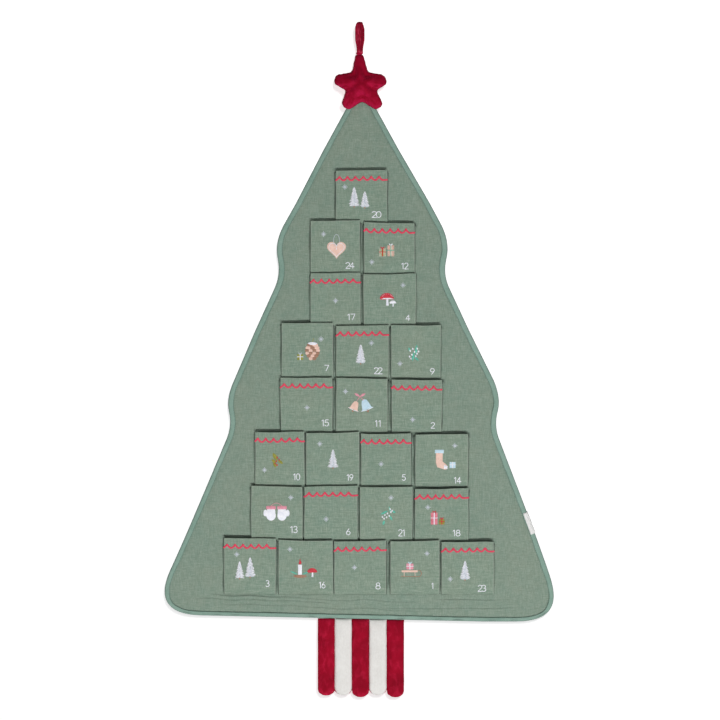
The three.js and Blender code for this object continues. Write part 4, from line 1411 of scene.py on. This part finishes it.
def sew_stocking(work, px, py, size):
    """A stocking with a pale cuff and toe."""
    top = Figure(work, px, py, size)
    foot = [(0.22, -0.5), (0.48, -0.72), (0.5, -0.9), (0.36, -0.98), (-0.1, -0.84), (-0.18, -0.6)]
    toe = [(0.3, -0.66), (0.52, -0.78), (0.48, -0.96), (0.28, -0.94)]
    top.fill([(-0.18, 0), (0.22, 0), *foot], 25, "peach", 0.48, 0.55)
    top.fill(oblong(-0.24, -0.02, 0.28, 0.2), 90, "sky", 0.45, 0.8)
    top.fill(toe, 100, "white", 0.45, 0.8)


def sew_candle(work, px, py, size):
    """A candle on a dish with leaves on both sides."""
    foot = Figure(work, px, py, size)
    foot.fill(oblong(-0.1, 0.08, 0.1, 0.62), 0, "white", 0.45, 0.5)
    flame = np.vstack([oval(0, 0.72, 0.07, 0.1, -150, 60, 8), [(0, 0.94)]])
    foot.fill(flame, 90, "berry", 0.42, 0.6)
    foot.fill(oval(0, 0.04, 0.34, 0.08), 0, "brown", 0.42, 0.6)
    for side in (-1, 1):
        sew_leaf(work, foot.at((side * 0.1, 0.12)), foot.at((side * 0.5, 0.3)), 2.2, "aqua")


def sew_sledge(work, px, py, size):
    """A sledge on its runner."""
    foot = Figure(work, px, py, size)
    runner = np.vstack([[(-0.5, 0.02), (0.3, 0.0)], oval(0.36, 0.16, 0.16, 0.16, -80, 90, 8)])
    foot.line(runner, 1.0, "brown")
    foot.fill(oblong(-0.48, 0.22, 0.34, 0.32), 0, "peach", 0.45, 0.6)
    for x in (-0.34, 0.2):
        foot.line([(x, 0.03), (x, 0.24)], 0.9, "peach")


# Leaves (from, to, width) and berries of each sprig, in pixels from its middle
BERRY_SPRIG = (
    ((-1, 8, 0, -1, 2.6), (2, 2, 3.2, -8.5, 2.6), (1, 4, 5, 7.5, 2.2), (-3, -1, -5, -5.5, 2.2)),
    ((-3.4, -2.2), (-0.8, -4.2), (-1.6, 1.6), (3.4, 0.6), (4.9, -1.6),
     (-4, 3.6), (1.0, -1.2), (-2.6, 5.6), (2.2, 3.2), (3.6, -4.4)),
)
OLIVE_SPRIG = (
    ((-4.2, -7, 0.5, 0.5, 4.2), (-5.6, -0.5, -1, 2.6, 3.0),
     (1, 0.4, 6, 3.6, 3.0), (-3.4, 1.4, -1.2, 7.6, 3.2)),
    ((0.2, -2.4), (2.2, -0.2), (-1.8, 3.6), (-0.6, 1.2), (0.0, 5.0)),
)
WIDE_SPRIG = (
    ((-6.2, -1.6, 1, -5.2, 2.2), (4.6, -5.6, 9, -3.2, 2.2), (2.6, -0.6, 5.6, 4.4, 2.0),
     (-2.4, 4.4, -3.8, 9, 2.6), (3.6, -4, 2.4, -9.6, 1.6)),
    ((3.4, -7), (4.0, -4), (0.6, -2.6), (-2, -1), (-0.2, 1.2),
     (-2.8, 2.6), (5.4, -5.4), (2.4, -0.2), (-4.4, 0.8)),
)
# What is embroidered on a pocket besides its number, scallops and snowflake
MOTIFS = {
    20: [(sew_tree, 354.2, 187.4, 206.2, 10), (sew_tree, 364.8, 191.8, 207.2, 9)],
    24: [(sew_heart, 336.5, 249, 19)],
    12: [(sew_gift, 379.2, 248.6, 385.8, 256.2, "olive", "berry", "berry", "white"),
         (sew_gift, 387.4, 245.4, 394.2, 256.2, "peach", "aqua", "white", "brown")],
    4: [(sew_toadstool, 387.2, 305.6, 12.6, "berry"),
        (sew_toadstool, 393.0, 306.6, 6.2, "white", False)],
    7: [(sew_cone, 312.5, 352, 19),
        (sew_gift, 297.2, 354.2, 303.2, 360, "olive", "white", "silver")],
    22: [(sew_tree, 360.7, 344.8, 363.2, 9.6)],
    9: [(sew_sprig, 413.6, 353, *BERRY_SPRIG, "aqua", "white", 1.35)],
    11: [(sew_bell, 355, 405.5, 10.5, "peach", -22), (sew_bell, 365.5, 404.5, 12.5, "sky", 20),
         (sew_bow, 360, 396.5)],
    10: [(sew_sprig, 277, 460, *OLIVE_SPRIG, "olive", "berry")],
    19: [(sew_tree, 333, 449.8, 467.6, 9.4)],
    14: [(sew_stocking, 439, 453, 17),
         (sew_gift, 449.6, 462, 455.6, 468, "sky", "white", "green")],
    13: [(sew_mitten, 271, 509, 15.5, -1), (sew_mitten, 282, 509, 15.5, 1),
         (sew_cord, 271, 282, 506)],
    21: [(sew_sprig, 386.8, 516, *WIDE_SPRIG, "aqua", "white", 1.25)],
    18: [(sew_gift, 430.8, 512.6, 437.6, 524.4, "pink", "white", "berry", "berry"),
         (sew_gift, 439, 519.2, 444.6, 524.4, "olive", "berry", "berry", "olive")],
    3: [(sew_tree, 239.6, 561.6, 578, 8.6), (sew_tree, 250.1, 557.6, 576.8, 10)],
    16: [(sew_candle, 300, 577, 20), (sew_toadstool, 312.4, 577, 9, "berry", False)],
    1: [(sew_sledge, 411, 576.6, 20),
        (sew_gift, 406.4, 563.6, 413.4, 569.4, "pink", "white", "sky")],
    23: [(sew_tree, 465, 561.2, 579.4, 9.6)],
}
# Each pocket's snowflake, in pixels of the photograph
FLAKES = {
    20: (344.8, 186.9), 24: (323.5, 234), 12: (371.8, 261.9), 17: (335.5, 300.7),
    4: (403, 285.2), 7: (321, 339), 22: (371.3, 343), 9: (400, 363.6), 15: (307, 407.6),
    11: (345.5, 391.5), 2: (412.7, 419.6), 10: (264.5, 469.9), 19: (319.8, 443.8),
    5: (381.1, 464), 14: (454.8, 445.7), 13: (290.8, 497.5), 6: (326.1, 519),
    21: (391, 497.7), 18: (427.9, 507.3), 3: (236.8, 554.3), 16: (289.9, 549.2),
    8: (354.4, 567.5), 1: (427, 553.5), 23: (450.3, 579),
}


def sew_motifs(work):
    for sew, *where in MOTIFS.get(work.pocket.number, ()):
        sew(work, *where)
    sew_flake(work, *FLAKES[work.pocket.number])


def pocket_stitching(pocket):
    """Stitches of the hem below the mouth."""
    x = np.arange(pocket.left + 2 * MM, pocket.right - 2 * MM, 3 * MM)
    z = pocket.mouth - HEM_DEPTH + pocket.top(x) * 0.9
    path = stacked(x, pocket.level(x, z) - 0.02 * MM, z)
    outwards = np.tile([0.0, -1.0, 0.0], (len(path), 1))
    return stitches(pocket.name + "_hem_stitches", path, outwards, 2.1 * MM, 0.2 * MM, "green")


# Assembly

def dressed(piece, body, slot, *nodes):
    """Puts a piece on its body, in place of the solids that it stands for; its slot is not used."""
    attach(piece, body)
    if nodes:
        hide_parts(*nodes)
    return piece


def dress_pockets():
    for number, pocket in pockets.items():
        front = dressed(pocket.front(), pocket.name, "green_linen", pocket.name)
        pleats = pocket.pleats()
        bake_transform(pleats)
        going = [pleats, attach(pocket_stitching(pocket), pocket.name)]
        sewn = {"number": sew_number, "motifs": sew_motifs}
        if number in SCALLOPED:
            sewn["scallops"] = sew_scallops
        for name, sew in sewn.items():
            work = Embroidery(pocket)
            sew(work)
            going.append(work.piece(f"{pocket.name}_{name}"))


def dress_tree():
    heights = np.linspace(cloth_bottom, cloth_top, 400)
    area = float(2 * np.trapz(cloth_half(heights), heights))
    flat = (2 * float(cloth_outline[:, 0].max()), float(cloth_top - cloth_bottom))
    wadding = dressed(tree_wadding(), "tree", "white_wadding", "tree_wadding")
    for side, level, grid, finish, offset in (
        ("front", front_level, (180, 190, fine_rows()), front_linen, 1.0),
        ("back", back_level, (110, 190), back_linen, -1.0),
    ):
        cloth = tree_cloth(f"tree_{side}_linen", level, grid, finish, offset)
        dressed(cloth, "tree", "green_linen", f"tree_{side}_fabric")
    edge = dressed(binding(), "tree", "green_binding", "edge_binding")
    sewing = [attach(piece, "tree") for piece in edge_stitching()]
    tag = dressed(side_tag(), "tree", "white_tape", "side_tag")


def dress_star():
    outline = star_outline()
    front = star_half("star_front_velvet", -1, outline)
    back = star_half("star_back_velvet", 1, outline)
    filling, seam, loop = star_stuffing(outline), star_seam_roll(outline), hanging_loop()
    end = roll_of_cloth("loop_end", 10.4 * MM, 2.4 * MM, LOOP_LEFT, 0, -LOOP_LENGTH, star_velvet)
    dressed(front, "tree", "red_velvet", "star_front")
    dressed(back, "tree", "red_velvet", "star_back")
    dressed(seam, "tree", "red_velvet")
    dressed(filling, "tree", "white_wadding", "star_filling")
    dressed(loop, "loop", "red_velvet", "hanging_loop")
    dressed(end, "loop", "red_velvet")


def dress_trunk():
    strips = []
    for index in range(5):
        cover, sizes = strip_cover(index)
        strips.append(sizes)
        for piece, node, slot in (
            (cover, "trunk_strip", "cream_rib" if index % 2 else "red_velvet"),
            (strip_filling(index, *sizes), "trunk_wadding", "white_wadding"),
        ):
            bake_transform(piece)
            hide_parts(f"{node}_{index + 1}")
    left, right = strips[0][0] - strips[0][1], strips[-1][0] + strips[-1][1]
    backing = trunk_backing(strips, left, right)
    seam = roll_of_cloth("trunk_seam_roll", right - left, 1.1 * MM, (left + right) / 2,
                         STRIP_BACK + 1.5 * MM, TRUNK_Z, strip_velvet)
    dressed(backing, "trunk", "red_velvet", "trunk_back")
    dressed(seam, "trunk", "red_velvet")
    right - left


# Stage, lamps and camera

WALL_Y = 7.5 * MM
WALL_TOP = 1.2
FLOOR_Z = -1.75
FLOOR_BEND = 0.3
FLOOR_LONG = 3.2
WALL_HALF_WIDE = 3.0
PAPER_TONE = 0.8
PAPER_GLOW = 0.72
WORLD_LIGHT = 0.12


def shown_rays(tree):
    """1 for rays that the camera or a gloss sends out, and 0 for light between surfaces."""
    rays = tree.nodes.new("ShaderNodeLightPath").outputs
    seen_ray, gloss_ray = Value(rays["Is Camera Ray"]), Value(rays["Is Glossy Ray"])
    return seen_ray.maths("MAXIMUM", seen_ray, gloss_ray)


def stage_finish(name, tone, glow):
    """A pale matt wall or floor that shows white and is unseen from behind."""
    finish = Finish(name, roughness=1.0, base_color=(tone, tone, tone, 1))
    lit = finish.node("Emission", None, {"Strength": glow})
    surface = Value(finish.shader.outputs[0])
    bright = finish.node("AddShader", None, {0: surface, 1: lit})
    behind = finish.node("NewGeometry", output="Backfacing")
    for factor, other in (
        (shown_rays(finish.tree), bright),
        (behind, finish.node("BsdfTransparent")),
    ):
        surface = finish.node("MixShader", None, {0: factor, 1: surface, 2: other})
    connect(finish.tree.nodes["Material Output"].inputs[0], surface)
    return finish.material


def make_stage():
    """A wall close behind the calendar that curves out into the floor."""
    turn = arc_of(0, 90, 12)
    y, z = WALL_Y - FLOOR_BEND * (1 - np.cos(turn)), FLOOR_Z + FLOOR_BEND * (1 - np.sin(turn))
    profile = [(WALL_Y, WALL_TOP), *stacked(y, z), (-FLOOR_LONG, FLOOR_Z)]
    points = [(x, y, z) for y, z in profile for x in (-WALL_HALF_WIDE, WALL_HALF_WIDE)]
    faces = grid_faces(len(profile), 2)[:, ::-1]
    paper = stage_finish("pale paper", PAPER_TONE, PAPER_GLOW)
    wall = make_piece("wall_and_floor", points, faces, paper)
    wall.visible_shadow = wall.visible_diffuse = False
    return wall


def lamp(name, place, wide, high, watts):
    """A soft box that faces the calendar's middle."""
    data = bpy.data.lights.new(name, "AREA")
    data.shape, data.size, data.size_y, data.energy = "ELLIPSE", wide, high, watts
    made = bpy.data.objects.new(name, data)
    made.location = place
    aim = Vector((0, 0, -0.55)) - made.location
    made.rotation_euler = aim.to_track_quat("-Z", "Y").to_euler()
    bpy.context.scene.collection.objects.link(made)
    return made


def make_light(wall):
    """The calendar is lit from below and in front, and the wall from the upper right."""
    calendar_lamps = [
        lamp("low key", (0.5, -3.6, -2.2), 1.9, 0.5, 117),
        lamp("front fill", (0.3, -4.0, -0.1), 2.4, 2.4, 27),
        lamp("back light", (-1.2, 3.4, 0.4), 1.6, 1.6, 120),
    ]
    wall_lamps = [lamp("wall light", (1.1, -3.4, 1.35), 1.0, 1.0, 72)]
    for state, lamps in (("EXCLUDE", calendar_lamps), ("INCLUDE", wall_lamps)):
        linked = bpy.data.collections.new("wall " + state.lower())
        linked.objects.link(wall)
        linked.collection_objects[0].light_linking.link_state = state
        for made in lamps:
            made.light_linking.receiver_collection = linked
    world = bpy.data.worlds.new("studio")
    world.use_nodes = True
    sky = world.node_tree.nodes["Background"]
    sky.inputs["Color"].default_value = (1, 1, 1, 1)
    strength = shown_rays(world.node_tree) * (1 - WORLD_LIGHT) + WORLD_LIGHT
    connect(sky.inputs["Strength"], strength)
    bpy.context.scene.world = world


def make_camera():
    data = bpy.data.cameras.new("camera")
    data.sensor_width = SENSOR
    data.lens = SENSOR * CAMERA_AWAY / (PHOTO_SIDE * PIXEL)
    camera = bpy.data.objects.new("camera", data)
    camera.location = (CAMERA_X, -CAMERA_AWAY, CAMERA_Z)
    camera.rotation_euler = (math.pi / 2, 0, 0)
    bpy.context.scene.collection.objects.link(camera)
    bpy.context.scene.camera = camera


make_camera()
dress_tree()
dress_pockets()
dress_star()
dress_trunk()
make_light(make_stage())
bpy.context.scene.view_settings.view_transform = "Standard"

bpy.context.view_layer.update()
